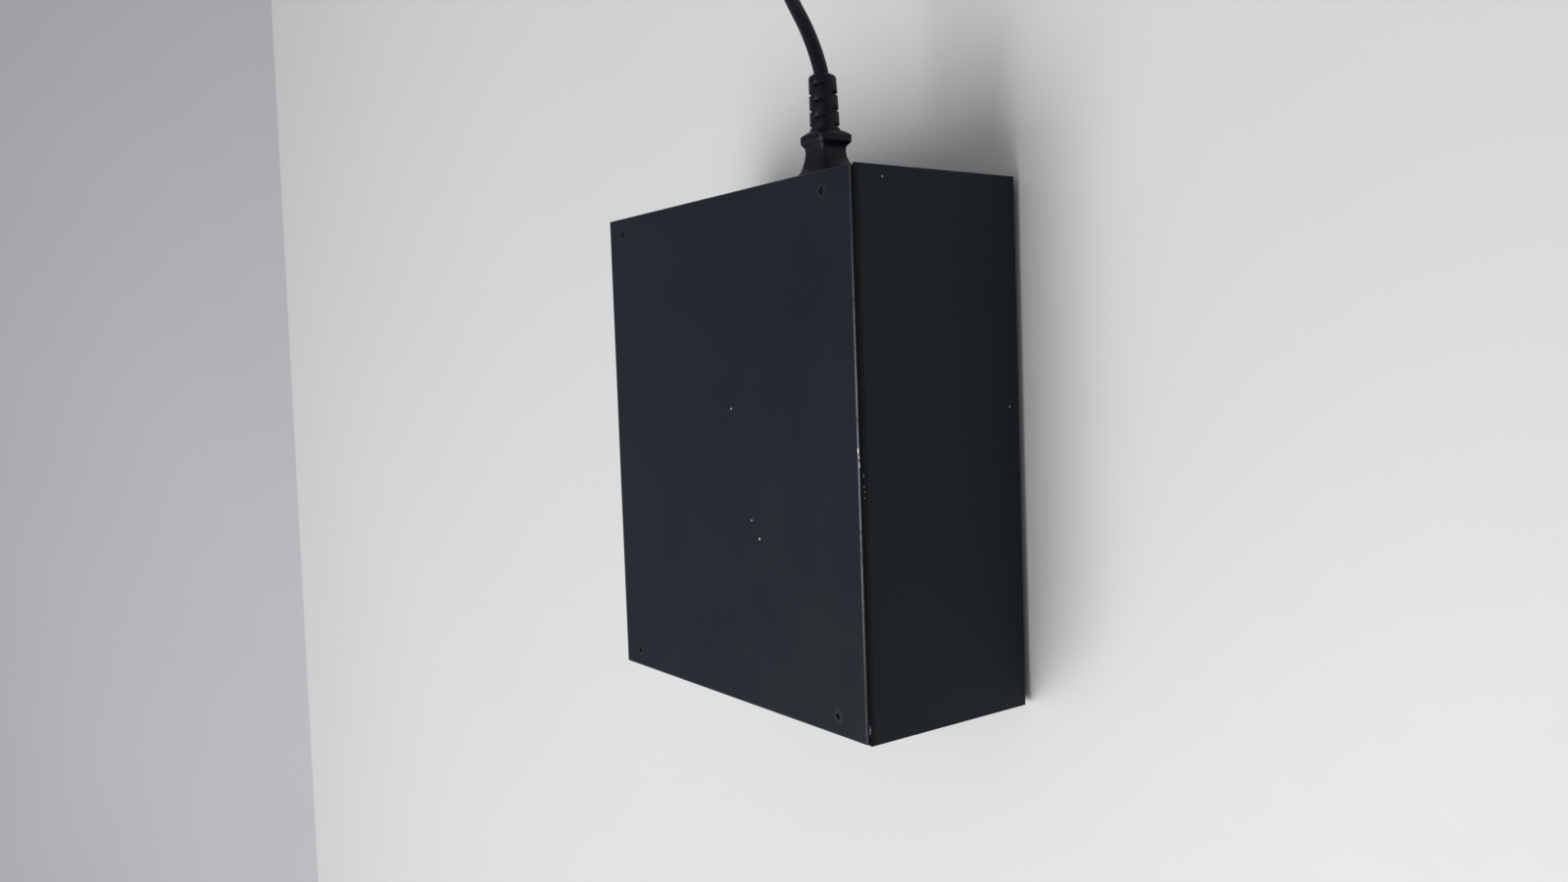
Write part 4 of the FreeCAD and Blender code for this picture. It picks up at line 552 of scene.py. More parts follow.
    def painted_bend_reflection(self, recipe: Recipe) -> bpy.types.NodeSocket:
        """The painted dark reflection: a darker band round the outside of the bend.

        Args:
            recipe: The material under way.

        Returns:
            How much the painted dark reflection darkens the paint there.
        """
        x, _, z = recipe.axes()
        side = recipe.ease(x, self.bend_x, self.bend_x + self.reflection_side)
        low, full = (self.bend_z - drop for drop in self.reflection_drop)
        return recipe.calc("MULTIPLY", side, recipe.ease(z, low, full))


@dataclass(frozen=True)
class BoardLacquer(Finish):
    """Green solder mask with copper tracks under it."""

    track: Colour = (0.03, 0.16, 0.06)
    pitch: float = 2.6 * MM
    wander: float = 12 * MM
    gap: tuple[float, float] = (0.30, 0.34)
    gate: tuple[float, float] = (0.47, 0.49)

    def lay(self, recipe: Recipe) -> None:
        """Put the tracks under the lacquer.

        Args:
            recipe: The material under way.
        """
        x = recipe.axes()[Axis.X.value]
        wiggle = recipe.span(recipe.noise(28, 1), -self.wander, self.wander)
        stripe = recipe.calc("PINGPONG", recipe.calc("ADD", x, wiggle), self.pitch / 2)
        copper = recipe.ease(stripe, self.pitch * self.gap[0], self.pitch * self.gap[1])
        gate = recipe.ease(recipe.noise(45, 1), *self.gate)
        copper = recipe.calc("MULTIPLY", copper, gate)
        base = recipe.blend(recipe.noise(300, 3), self.colour, self.second)
        recipe.set(Base_Color=recipe.blend(copper, base, self.track))
        recipe.set(Roughness=recipe.span(recipe.noise(800, 2), *self.rough))
        recipe.set(Normal=recipe.relief(copper, 0.03 * MM))


@dataclass(frozen=True)
class Banded(Finish):
    """A surface with close bands along one axis, such as wound wire or woven tape."""

    axis: Axis = Axis.Z
    pitch: float = 0.8 * MM
    cross: Axis | None = None
    edge: float = 0.4

    def lay(self, recipe: Recipe) -> None:
        """Put the bands in.

        Args:
            recipe: The material under way.
        """
        axes = recipe.axes()
        band = recipe.calc("PINGPONG", axes[self.axis.value], self.pitch / 2)
        band = recipe.ease(band, 0.0, self.pitch * self.edge)
        if self.cross is not None:
            other = recipe.calc("PINGPONG", axes[self.cross.value], self.pitch / 2)
            other = recipe.ease(other, 0.0, self.pitch * self.edge)
            band = recipe.calc("MULTIPLY", band, other)
        fuzz = recipe.noise(self.grain, 3)
        tone = recipe.calc("MULTIPLY", band, recipe.span(fuzz, 0.5, 1.0))
        recipe.set(Base_Color=recipe.blend(tone, self.second, self.colour))
        recipe.set(Roughness=recipe.span(fuzz, *self.rough))
        recipe.set(Normal=recipe.relief(tone, self.depth))


@dataclass(frozen=True)
class TableTop(Finish):
    """A pale laminate with a faint cloudiness."""

    clouds: float = 3.0
    scuffs: float = 40.0

    def lay(self, recipe: Recipe) -> None:
        """Put the clouds and a soft grain in."""
        cloud = recipe.noise(self.clouds, 4)
        recipe.set(Base_Color=recipe.blend(cloud, self.colour, self.second))
        recipe.set(Roughness=recipe.span(recipe.noise(self.scuffs, 3), *self.rough))


CHIPS = (
    Mark((106.1, 3.4, 101.5), (0.4, 1.9, 1.0), 1.0, 0.5),
    Mark((106.3, 0.6, 101.4), (0.5, 1.6, 1.0), 0.7, 0.9),
    Mark((106.5, -2.8, 101.3), (0.8, 2.9, 1.0), 0.62, 1.1),
    Mark((107.4, -7.2, 99.9), (0.5, 1.5, 0.22), 0.4, 0.7),
    Mark((107.4, -12.0, 99.8), (0.5, 0.5, 0.25), 0.5, 0.3),
    Mark((107.4, -14.2, 99.7), (0.5, 0.4, 0.25), 0.5, 0.3),
    Mark((107.4, -17.0, 99.7), (0.5, 0.5, 0.25), 0.5, 0.3),
    Mark((106.9, 124.6, 100.9), (1.0, 1.0, 1.0), 0.7, 0.8),
    Mark((106.9, -124.6, 100.9), (1.0, 1.0, 1.0), 0.7, 0.8),
    Mark((103.8, 124.7, 101.5), (2.8, 0.7, 0.8), 0.75, 0.8),
    Mark((107.2, -118.0, 100.4), (0.6, 5.0, 0.6), 0.45, 1.1),
)
SPECKS = (
    Mark((9.7, 20.7, 101.5), (0.6, 0.6, 0.5), 1.0, 0.3),
    Mark((24.0, -33.1, 101.5), (0.6, 0.5, 0.5), 1.0, 0.3),
    Mark((30.1, -41.6, 101.5), (0.7, 0.8, 0.5), 1.0, 0.3),
    Mark((107.5, 120.0, 84.5), (0.5, 0.5, 0.6), 0.9, 0.3),
    Mark((107.5, 18.0, 10.0), (0.5, 0.5, 0.5), 0.9, 0.3),
)
BLACK = (0.0065, 0.0105, 0.0165)
FINISHES: dict[str, Finish] = {
    "case_paint": PaintedSteel(
        "case_paint",
        BLACK,
        (0.0085, 0.0125, 0.0185),
        (0.38, 0.5),
        tones=(0.3, 0.72),
        extras={"Specular_IOR_Level": 0.17},
        marks=CHIPS,
        specks=SPECKS,
    ),
    "tray_paint": Finish(
        "tray_paint", (0.0065, 0.010, 0.0155), (0.0085, 0.012, 0.018), (0.38, 0.52),
        extras={"Specular_IOR_Level": 0.17},
    ),
    "black_steel": Finish(
        "black_steel", (0.011, 0.0145, 0.02), (0.02, 0.0245, 0.031), (0.3, 0.5), 0.5
    ),
    "zinc_steel": Finish("zinc_steel", (0.55, 0.56, 0.58), (0.42, 0.43, 0.46), (0.22, 0.4), 1.0),
    "nickel_brass": Finish("nickel_brass", (0.62, 0.6, 0.55), (0.5, 0.48, 0.43), (0.18, 0.34), 1.0),
    "tinned_copper": Finish("tinned_copper", (0.6, 0.6, 0.6), (0.5, 0.48, 0.45), (0.25, 0.4), 1.0),
    "black_rubber": Finish(
        "black_rubber", (0.012, 0.012, 0.013), (0.02, 0.02, 0.021), (0.6, 0.8), grain=2600
    ),
    "board_green": BoardLacquer(
        "board_green", (0.008, 0.07, 0.025), (0.012, 0.09, 0.03), (0.2, 0.35)
    ),
    "black_plastic": Finish(
        "black_plastic", (0.012, 0.012, 0.014), (0.018, 0.018, 0.02), (0.35, 0.5), grain=2200
    ),
    "jack_shield": Finish(
        "jack_shield", (0.58, 0.58, 0.6), (0.48, 0.48, 0.51), (0.2, 0.36), 1.0, stretch=(1, 1, 8)
    ),
    "gold_contact": Finish("gold_contact", (0.85, 0.6, 0.22), (0.75, 0.5, 0.18), (0.15, 0.3), 1.0),
    "clear_plastic": Finish(
        "clear_plastic",
        (0.82, 0.85, 0.85),
        (0.75, 0.8, 0.8),
        (0.12, 0.25),
        extras={"Transmission_Weight": 0.85, "IOR": 1.49},
    ),
    "lamp": Finish(
        "lamp",
        (0.25, 0.6, 0.2),
        (0.3, 0.7, 0.25),
        (0.15, 0.3),
        extras={"Transmission_Weight": 0.5, "IOR": 1.5},
    ),
    "capacitor_sleeve": Finish(
        "capacitor_sleeve", (0.012, 0.014, 0.03), (0.02, 0.022, 0.04), (0.2, 0.34)
    ),
    "terminal_green": Finish(
        "terminal_green", (0.01, 0.16, 0.05), (0.015, 0.2, 0.065), (0.35, 0.5)
    ),
    "insulation": Finish("insulation", (0.55, 0.5, 0.38), (0.62, 0.57, 0.45), (0.4, 0.6)),
    "ferrite": Finish("ferrite", (0.02, 0.02, 0.022), (0.035, 0.034, 0.036), (0.5, 0.7)),
    "winding_tape": Banded("winding_tape", (0.75, 0.5, 0.08), (0.45, 0.28, 0.04), (0.25, 0.4)),
    "choke_winding": Banded(
        "choke_winding", (0.55, 0.2, 0.07), (0.2, 0.06, 0.02), (0.2, 0.35), 0.8, axis=Axis.X
    ),
    "aluminium": Finish(
        "aluminium", (0.68, 0.69, 0.7), (0.58, 0.59, 0.61), (0.25, 0.42), 1.0, stretch=(1, 1, 12)
    ),
    "film_cap_yellow": Finish(
        "film_cap_yellow", (0.65, 0.42, 0.04), (0.72, 0.48, 0.06), (0.3, 0.45)
    ),
    "fuse_glass": Finish(
        "fuse_glass",
        (0.9, 0.92, 0.92),
        (0.85, 0.88, 0.88),
        (0.05, 0.1),
        extras={"Transmission_Weight": 0.9, "IOR": 1.5},
    ),
    "rocker_plastic": Finish(
        "rocker_plastic", (0.014, 0.014, 0.015), (0.02, 0.02, 0.022), (0.22, 0.34), grain=900
    ),
    "bush_bronze": Finish("bush_bronze", (0.42, 0.24, 0.1), (0.34, 0.19, 0.08), (0.3, 0.45), 1.0),
    "wire_insulation": Finish(
        "wire_insulation", (0.03, 0.06, 0.22), (0.04, 0.08, 0.28), (0.3, 0.45)
    ),
    "cord_pvc": Finish(
        "cord_pvc", (0.004, 0.0042, 0.0085), (0.006, 0.0065, 0.0125), (0.34, 0.48), grain=1800,
        extras={"Specular_IOR_Level": 0.2},
    ),
    "tie_fabric": Banded(
        "tie_fabric", (0.03, 0.03, 0.033), (0.008, 0.008, 0.009), (0.75, 0.95), cross=Axis.X
    ),
}
NODE_FINISH: dict[str, str] = {
    "cover": "case_paint",
    "base_tray": "tray_paint",
    "front_panel": "tray_paint",
    "cover_screws": "black_steel",
    "panel_screws": "black_steel",
    "fan_screws": "black_steel",
    "fan_guard": "black_steel",
    "inlet_screws": "black_steel",
}


class Paintshop:
    """Makes each finish once and puts it on pieces and CAD nodes."""

    def __init__(self) -> None:
        """Start with no finish made."""
        self.made: dict[str, bpy.types.Material] = {}

    def finish(self, name: str) -> bpy.types.Material:
        """The material of a finish, made at its first use."""
        if name not in self.made:
            self.made[name] = FINISHES[name].make()
        return self.made[name]

    def coat(self, piece: bpy.types.Object, name: str) -> None:
        """Put a finish on all of a piece.

        Args:
            piece: The piece or CAD node.
            name: The finish.
        """
        material = self.finish(name)
        slots = piece.data.materials
        if not len(slots):
            slots.append(material)
        for index in range(len(slots)):
            slots[index] = material

    def dress_frame(self) -> None:
        """Give every CAD node its finish, from the record unless this file names another."""
        slot_of = {part["node"]: part["material_slot"] for part in frame["record"]["subparts"]}
        for name, node in frame["nodes"].items():
            self.coat(node, NODE_FINISH.get(name, slot_of[name]))
        LOG.info("dressed %d CAD nodes", len(frame["nodes"]))


# ---- The mains lead -------------------------------------------------------------------
CORNER_SOFTENING = 1.1 * MM
CORNER_SHARE = 0.36


def rounded_outline(centre: tuple[float, float], size: tuple[float, float], top: float) -> list:
    """A rectangle with cut and softened corners, in as many points as a drawn-out ring has.

    Args:
        centre: Its middle, across and up.
        size: Its width and height.
        top: The cut at its two upper corners; the lower ones are cut less.

    Returns:
        The points, in order round it.
    """
    a, b = size[0] / 2, size[1] / 2
    low = min(top, 0.6 * MM + top / 3)
    corners = [(a, b - top), (a - top, b), (top - a, b), (-a, b - top)]
    corners += [(-a, low - b), (low - a, -b), (a - low, -b), (a, low - b)]
    points = []
    for index, corner in enumerate(corners):
        here = Vector(corner)
        before, after = Vector(corners[index - 1]) - here, Vector(corners[(index + 1) % 8]) - here
        back = here + before.normalized() * min(CORNER_SOFTENING, before.length * CORNER_SHARE)
        ahead = here + after.normalized() * min(CORNER_SOFTENING, after.length * CORNER_SHARE)
        points += [back, here * 0.5 + (back + ahead) * 0.25, ahead, here + after / 2]
    return [(centre[0] + p.x, centre[1] + p.y) for p in points]


def round_outline(centre: tuple[float, float], radius: float, flat: float = 1.0) -> list:
    """A circle, flattened above and below where flat is less than its radius.

    Args:
        centre: Its middle, across and up.
        radius: Its radius.
        flat: How far it reaches up and down at most.

    Returns:
        The points, in order round it.
    """
    points = []
    for step in range(CORNERS):
        angle = math.radians(CORNER_TURN * step)
        up = max(-flat, min(flat, radius * math.sin(angle)))
        points.append((centre[0] + radius * math.cos(angle), centre[1] + up))
    return points


def draw_out(name: str, outlines: list[tuple[float, list]]) -> Workpiece:
    """Draw a closed form out along Y, outline by outline.

    Args:
        name: The piece's name.
        outlines: Each outline's place along Y and its points.

    Returns:
        The workpiece, in object mode.
    """
    start, first = outlines[0]
    across, up = (sum(point[axis] for point in first) / CORNERS for axis in (0, 1))
    middle = Vector((across, start, up))
    work = Workpiece.ring(name, CORNERS, 5 * MM, middle)
    work.edit()
    for number, (y, outline) in enumerate(outlines):
        if number:
            work.grow((0, y - outlines[number - 1][0], 0))
        work.shape_ring(middle, [(x, y, z) for x, z in outline])
    work.leave()
    return work


@dataclass
class Connector:
    """The moulded connector: nose, grip, collar and ribbed strain relief."""

    axis: tuple[float, float] = (65.3 * MM, 81.5 * MM)
    shoulder: float = 126.5 * MM
    sections: tuple[tuple[float, float, float, float], ...] = (
        (0.0, 27.0, 20.0, 4.6),
        (0.5, 26.9, 19.9, 4.6),
        (1.8, 24.5, 17.8, 3.9),
        (4.2, 20.5, 16.0, 2.7),
        (6.1, 17.6, 14.8, 1.6),
        (8.0, 15.2, 14.1, 0.9),
        (10.4, 14.0, 13.6, 0.7),
        (12.6, 14.6, 14.2, 0.9),
        (14.0, 17.6, 16.6, 1.7),
        (14.6, 18.9, 17.4, 2.0),
        (17.4, 19.4, 17.8, 2.4),
        (18.1, 18.6, 17.1, 2.8),
        (19.7, 13.8, 13.8, 3.9),
    )
    nose_size: tuple[float, float] = (24.0 * MM, 16.3 * MM)
    nose_chamfer: float = 4.5 * MM
    nose_front: float = 109.2 * MM
    slot_size: Point = (3.5 * MM, 14.2 * MM, 5.5 * MM)
    slot_pitch: float = 7.0 * MM
    slot_rise: float = 2.0 * MM
    relief_start: float = 146.2 * MM
    relief_end: float = 171.9 * MM
    relief_radii: tuple[float, float] = (6.9 * MM, 6.35 * MM)
    side_grooves: Point = (2.1, 9.4, 16.7)
    face_grooves: Point = (5.75, 13.05, 20.35)
    groove: tuple[tuple[float, float], ...] = (
        (-0.85, 0.0),
        (-0.6, 0.35),
        (-0.5, 1.6),
        (0.5, 1.6),
        (0.6, 0.35),
        (0.85, 0.0),
    )
    groove_steps: tuple[range, range] = (range(1, 8), range(3, 7))
    mouth: tuple[tuple[float, float], ...] = ((1.8, 0.0), (1.2, 0.2), (0.6, 0.6), (0.0, 1.7))
    relief_foot: float = 0.3 * MM
    lean: float = -0.9 * MM

    def build(self) -> bpy.types.Object:
        """Model the connector.

        Returns:
            The finished piece.
        """
        work = draw_out("connector_moulding", self.nose() + self.grip() + self.relief())
        for side, rise in ((-1, -self.slot_rise), (0, self.slot_rise), (1, -self.slot_rise)):
            x, z = self.axis[0] + side * self.slot_pitch, self.axis[1] + rise
            half = Vector(self.slot_size) / 2
            middle = Vector((x, self.nose_front - 1 * MM + half.y, z))
            work.cut_with(Workpiece.block("slot", middle - half, middle + half).piece)
        return work.finish(40)

    def nose(self) -> list[tuple[float, list]]:
        """The outlines of the part that goes into the inlet."""
        small = (self.nose_size[0] - 0.8 * MM, self.nose_size[1] - 0.8 * MM)
        tip = rounded_outline(self.axis, small, self.nose_chamfer)
        full = rounded_outline(self.axis, self.nose_size, self.nose_chamfer)
        front = self.nose_front
        return [(front, tip), (front + 0.5 * MM, full), (self.shoulder, full)]

    def grip(self) -> list[tuple[float, list]]:
        """The outlines of the shoulder, neck and collar."""
        outlines = []
        for distance, width, height, chamfer in self.sections:
            size = (width * MM, height * MM)
            outline = rounded_outline(self.axis, size, chamfer * MM)
            outlines.append((self.shoulder + distance * MM + 0.01 * MM, outline))
        return outlines

    def relief(self) -> list[tuple[float, list]]:
        """The outlines of the tapered relief, with its slots."""
        length = self.relief_end - self.relief_start
        wanted = [(self.relief_foot, 0.0, Cut.SIDES)]
        for rows, cut in ((self.side_grooves, Cut.SIDES), (self.face_grooves, Cut.FACES)):
            for at in rows:
                wanted += [(at * MM + step * MM, deep * MM, cut) for step, deep in self.groove]
        for back, deep in self.mouth:
            cut = Cut.ALL_ROUND if deep else Cut.SIDES
            wanted.append((length - back * MM, deep * MM, cut))
        outlines = []
        wanted.sort(key=lambda section: (section[0], section[1], section[2].value))
        for distance, depth, cut in wanted:
            share = distance / length
            radius = self.relief_radii[0] + share * (self.relief_radii[1] - self.relief_radii[0])
            middle = (self.axis[0] + self.lean * share * share, self.axis[1])
            outline = self.slotted(middle, radius, depth, cut)
            outlines.append((self.relief_start + distance, outline))
        return outlines

    def slotted(self, middle: tuple[float, float], radius: float, depth: float, cut: Cut) -> list:
        """A round section, cut in two opposite quarters or all round.

        Args:
            middle: The section's centre.
            radius: Its radius.
            depth: How deep the cut is here.
            cut: Where it is cut.

        Returns:
            Its points, in order round it.
        """
        outline = []
        for step in range(CORNERS):
            quarter, within = divmod(step, CORNERS // 4)
            whole = cut is Cut.ALL_ROUND
            inside = whole or (quarter % 2 != cut.value and within in self.groove_steps[cut.value])
            angle = math.radians(CORNER_TURN * step)
            reach = radius - (depth if inside else 0.0)
            x = middle[0] + reach * math.cos(angle)
            outline.append((x, middle[1] + reach * math.sin(angle)))
        return outline


@dataclass
class Cord:
    """The round lead from the connector to the plug, with its tied coil."""

    diameter: float = 6.8 * MM
    length: float = 1.5
    lead: tuple[Point, ...] = (
        (65.3, 155.4, 81.5),
        (65.3, 169.0, 81.5),
        (60.6, 181.6, 81.1),
        (52.2, 195.5, 79.8),
        (42.0, 207.2, 77.6),
        (29.5, 219.8, 73.4),
        (17.5, 232.0, 66.0),
        (6.5, 244.5, 55.0),
        (-3.0, 258.0, 41.0),
        (-9.6, 273.0, 26.6),
        (-13.0, 289.0, 14.4),
        (-14.0, 304.0, 6.4),
    )
    tail: tuple[Point, ...] = (
        (65.6, 301.0, 10.4),
        (69.3, 286.0, 10.5),
        (79.0, 273.5, 10.3),
        (93.0, 264.6, 10.2),
    )
    coil_centre: tuple[float, float] = (26.0, 318.0)
    outer: float = 39.4
    inner: float = 32.6
    rows: Point = (3.4, 10.2, 17.0)
    per_turn: int = 16
    turns: float = 5.5

    def cells(self) -> list[tuple[float, float, float]]:
        """Where the winding is after so many turns: turns, radius, height."""
        low, mid, high = self.rows
        wide, tight = self.outer, self.inner
        stops = [(0.0, wide, low), (0.7, wide, low), (0.9, tight, low), (1.8, tight, low)]
        stops += [(2.0, tight, mid), (2.8, tight, mid), (3.0, tight, high), (3.75, tight, high)]
        stops += [(4.0, wide, high), (4.92, wide, high), (5.12, wide, mid), (6.0, wide, mid)]
        return stops

    def winding(self) -> list[Point]:
        """The coil's points, turn by turn, in millimetres."""
        stops = self.cells()
        swell = 1 / math.cos(math.pi / self.per_turn)
        points = []
        for step in range(int(self.turns * self.per_turn) + 1):
            turned = step / self.per_turn
            index = max(i for i, stop in enumerate(stops) if stop[0] <= turned)
            before, after = stops[index], stops[min(index + 1, len(stops) - 1)]
            share = (turned - before[0]) / max(after[0] - before[0], 1e-6)
            share = share * share * (3 - 2 * share)
            radius = (before[1] + share * (after[1] - before[1])) * swell
            height = before[2] + share * (after[2] - before[2])
            angle = math.pi - 2 * math.pi * turned
            x = self.coil_centre[0] + radius * math.cos(angle)
            points.append((x, self.coil_centre[1] + radius * math.sin(angle), height))
        return points

    def build(self) -> bpy.types.Object:
        """Lay the cord as one smooth curve.

        Returns:
            The curve object.
        """
        route = [*self.lead, *self.winding(), *self.tail]
        curve = bpy.data.curves.new("mains_cord", "CURVE")
        curve.dimensions = "3D"
        curve.bevel_depth = self.diameter / 2
        curve.bevel_resolution = 5
        curve.use_fill_caps = True
        curve.resolution_u = 6
        spline = curve.splines.new("NURBS")
        spline.points.add(len(route) - 1)
        for knot, (x, y, z) in zip(spline.points, route):
            knot.co = (x * MM, y * MM, z * MM, 1)
        spline.order_u = 3
        spline.use_endpoint_u = True
        spline.use_smooth = True
        piece = bpy.data.objects.new("mains_cord", curve)
        bpy.context.scene.collection.objects.link(piece)
        return piece


@dataclass
class Tie:
    """The hook-and-loop strap over the coil."""

    x: float = 26.0 * MM
    y: float = 354.0 * MM
    width: float = 9.0 * MM
    half: float = 7.3 * MM
    height: float = 20.9 * MM
    thick: float = 1.0 * MM
    flap_foot: float = 2 * MM
    flap_drop: float = 4 * MM
    flap_edge: float = 0.7 * MM
    outer_round: float = 3.6 * MM
    inner_round: float = 2.8 * MM
    room_depth: float = 9 * MM
    edge: float = 0.22 * MM

    def build(self) -> bpy.types.Object:
        """Model the strap.

        Returns:
            The finished piece.
        """
        reach = self.half + self.thick
        top = self.height + self.thick
        outer = self.block("strap", self.width / 2, reach, (0, top), self.outer_round)
        room = (-self.room_depth, self.height)
        inner = self.block("room", self.width, self.half, room, self.inner_round)
        outer.cut_with(inner.piece)
        flap = self.flap()
        pick(outer.piece)
        flap.select_set(True)
        bpy.ops.object.join()
        outer.modify("BEVEL", width=self.edge, segments=2, angle_limit=math.radians(50))
        return outer.finish(40)

    def block(
        self, name: str, side: float, reach: float, heights: tuple[float, float], round_by: float
    ) -> Workpiece:
        """A block with its two upper edges rounded.

        Args:
            name: The block's name.
            side: Half its width.
            reach: Half its depth.
            heights: Its lowest and highest Z.
            round_by: The radius at its upper edges.

        Returns:
            The workpiece.
        """
        low = (self.x - side, self.y - reach, heights[0])
        work = Workpiece.block(name, low, (self.x + side, self.y + reach, heights[1]))
        work.edit()
        top = heights[1] - 0.01 * MM
        work.select("edges", lambda e: all(v.co.z > top for v in e.verts) and self.across(e))
        bpy.ops.mesh.bevel(offset=round_by, segments=8, affect="EDGES")
        work.leave()
        return work

    def across(self, edge: bmesh.types.BMEdge) -> bool:
        """Whether an edge runs along X."""
        return abs(edge.verts[0].co.x - edge.verts[1].co.x) > self.thick

    def flap(self) -> bpy.types.Object:
        """The strap's loose end, laid back on itself."""
        face = self.y + self.half + self.thick
        low = (self.x - self.width / 2, face, self.flap_foot)
        high = (self.x + self.width / 2, face + self.thick, self.height - self.flap_drop)
        work = Workpiece.block("flap", low, high)
        work.edit()
        work.select("edges", lambda e: self.across(e) and all(v.co.y > face for v in e.verts))
        bpy.ops.mesh.bevel(offset=self.flap_edge, segments=4, affect="EDGES")
        work.leave()
        return work.piece


@dataclass
class Plug:
    """The moulded mains plug at the cord's far end."""

    at: Point = (93.0 * MM, 264.6 * MM, 10.2 * MM)
    along: tuple[float, float] = (14.0, -8.9)
    relief: float = 18.0 * MM
    radii: Point = (5.6 * MM, 8.0 * MM, 13.5 * MM)
    flat: float = 10.2 * MM
    taper: float = 26.0 * MM
    reach: float = 52.0 * MM
    grooves: int = 3
    groove_start: float = 4.2
    groove_pitch: float = 4.4
    groove_depth: float = 1.3 * MM
    swell_parts: int = 8
    swell_power: float = 1.3
    ridges: tuple[int, ...] = (3, 4, 5, 6)
    ridge_depth: float = 0.5 * MM

    def build(self) -> bpy.types.Object:
        """Model the plug along Y and lay it in its place.

        Returns:
            The finished piece.
        """
        work = draw_out("plug_moulding", [(y, self.outline(r)) for y, r in self.profile()])
        work.place(math.atan2(-self.along[0], self.along[1]), self.at)
        return work.finish(40)

    def outline(self, radius: float) -> list:
        """The plug's section at one radius."""
        return round_outline((0, 0), radius, self.flat)

    def profile(self) -> list[tuple[float, float]]:
        """Distances along the plug and the radius at each."""
        small, root, full = self.radii
        steps = [(0.0, small - 1.2 * MM), (0.7 * MM, small - 0.3 * MM), (1.6 * MM, small)]
        for groove in range(self.grooves):
            at = (self.groove_start + self.groove_pitch * groove) * MM
            radius = small + (root - small) * at / self.relief
            deep = radius - self.groove_depth
            steps += [(at - 0.3 * MM, radius), (at + 0.1 * MM, deep), (at + 1.1 * MM, deep)]
            steps.append((at + 1.5 * MM, radius + 0.1 * MM))
        steps.append((self.relief, root))
        for part in range(1, self.swell_parts):
            share = part / self.swell_parts
            swell = root + (full - root) * math.sin(share * math.pi / 2) ** self.swell_power
            steps.append((self.relief + share * self.taper, swell))
            if part in self.ridges:
                low = swell - self.ridge_depth
                steps.append((self.relief + (share + 0.04) * self.taper, low))
                steps.append((self.relief + (share + 0.07) * self.taper, low))
        steps += [(self.relief + self.taper, full), (self.reach - 1.2 * MM, full)]
        steps += [(self.reach - 0.4 * MM, full - 0.3 * MM), (self.reach, full - 1.2 * MM)]
        return steps


class MainsLead:
    """The connector, cord, tie and plug, which move together."""

    def __init__(self, shop: Paintshop) -> None:
        """Build the lead, dress it and join it to its body.

        Args:
            shop: Where the finishes come from.
        """
        cord = Cord()
        line = cord.build()
        connector, tie, plug = Connector().build(), Tie().build(), Plug().build()
        made = (
            (line, "cord_pvc", ("cord_lead", "cord_coil", "cord_tail")),
            (connector, "cord_pvc", ("cord_connector",)),
            (tie, "tie_fabric", ("cord_tie",)),
            (plug, "cord_pvc", ("mains_plug",)),
        )
        for piece, finish, nodes in made:
            shop.coat(piece, finish)
            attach(piece, LEAD_BODY)
            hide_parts(*nodes)
            LOG.info("built %s", piece.name)


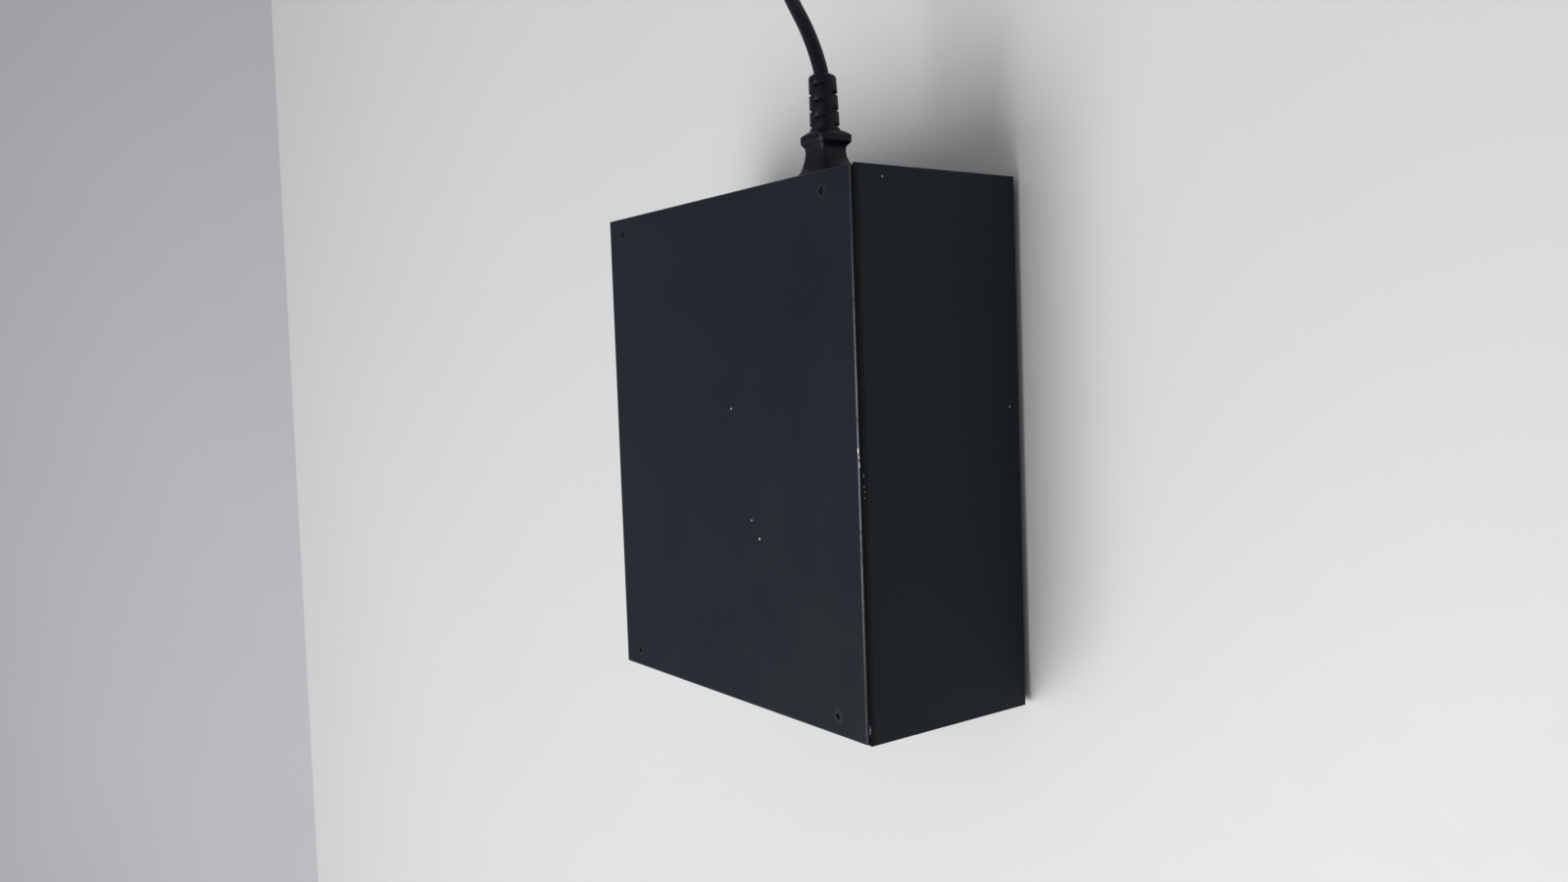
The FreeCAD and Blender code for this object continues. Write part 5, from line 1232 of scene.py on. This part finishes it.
# ---- The studio -----------------------------------------------------------------------
@dataclass
class Studio:
    """The table, the light and the camera."""

    eye: Point = (0.506375, 0.039940, 0.430762)
    right: Point = (0.58878, -0.03456, -0.80756)
    up: Point = (-0.02844, 0.99758, -0.06343)
    back: Point = (0.80780, 0.06031, 0.58637)
    lens: float = 27.957
    table_size: float = 6.0
    table_middle: Point = (1.79, 0, 0)
    table_turn: float = -0.021
    wall_size: float = 12.0
    wall_middle: Point = (-6.45, 0, 2.85)
    wall_tilt: float = math.radians(30)
    sky_colour: Colour = (0.93, 0.96, 1.0)
    sky_strength: float = 0.27

    def build(self) -> None:
        """Set everything up."""
        self.table()
        self.backdrop()
        self.light("key", at=(-0.32, -1.0, 2.1), size=1.6, power=43.0)
        self.light("fill", at=(0.3, -0.2, 2.3), size=2.4, power=11.0)
        self.sky()
        self.camera()

    def table(self) -> None:
        """The pale table top."""
        deselect_all()
        bpy.ops.mesh.primitive_plane_add(
            size=self.table_size, location=self.table_middle, rotation=(0, 0, self.table_turn)
        )
        table = bpy.context.object
        table.name = "table_top"
        finish = TableTop("table_top", (0.74, 0.745, 0.74), (0.70, 0.705, 0.705), (0.4, 0.5))
        table.data.materials.append(finish.make())

    def backdrop(self) -> None:
        """The grey wall of the room, rising from below the table's far edge."""
        deselect_all()
        bpy.ops.mesh.primitive_plane_add(
            size=self.wall_size, location=self.wall_middle, rotation=(0, self.wall_tilt, 0)
        )
        wall = bpy.context.object
        wall.name = "backdrop"
        finish = TableTop("backdrop", (0.59, 0.57, 0.59), (0.55, 0.535, 0.555), (0.5, 0.6))
        wall.data.materials.append(finish.make())

    def light(self, name: str, at: Point, size: float, power: float) -> None:
        """A square soft box that points at the case.

        Args:
            name: The light's name.
            at: Where it hangs.
            size: Its side.
            power: Its power in watts.
        """
        lamp = bpy.data.lights.new(name, "AREA")
        lamp.size, lamp.energy = size, power
        holder = bpy.data.objects.new(name, lamp)
        holder.location = at
        aim = Vector((0, 0, 0.05)) - Vector(at)
        holder.rotation_euler = aim.to_track_quat("-Z", "Y").to_euler()
        bpy.context.scene.collection.objects.link(holder)

    def sky(self) -> None:
        """An even, dim surround."""
        world = bpy.data.worlds.new("surround")
        world.use_nodes = True
        ground = world.node_tree.nodes["Background"]
        ground.inputs["Color"].default_value = (*self.sky_colour, 1.0)
        ground.inputs["Strength"].default_value = self.sky_strength
        bpy.context.scene.world = world
        bpy.context.scene.view_settings.view_transform = "Standard"

    def camera(self) -> None:
        """The camera, turned on its side."""
        lens = bpy.data.cameras.new("camera")
        lens.sensor_width, lens.lens = 36.0, self.lens
        lens.clip_start = 0.01
        lens.dof.use_dof = False
        holder = bpy.data.objects.new("camera", lens)
        turn = Matrix((self.right, self.up, self.back)).transposed()
        holder.matrix_world = Matrix.Translation(self.eye) @ turn.to_4x4()
        bpy.context.scene.collection.objects.link(holder)
        bpy.context.scene.camera = holder


def main() -> None:
    """Build everything in order."""
    logging.basicConfig(level=logging.INFO, format="%(message)s")
    shop = Paintshop()
    shop.dress_frame()
    MainsLead(shop)
    Studio().build()
    deselect_all()


if __name__ == "__main__":
    main()
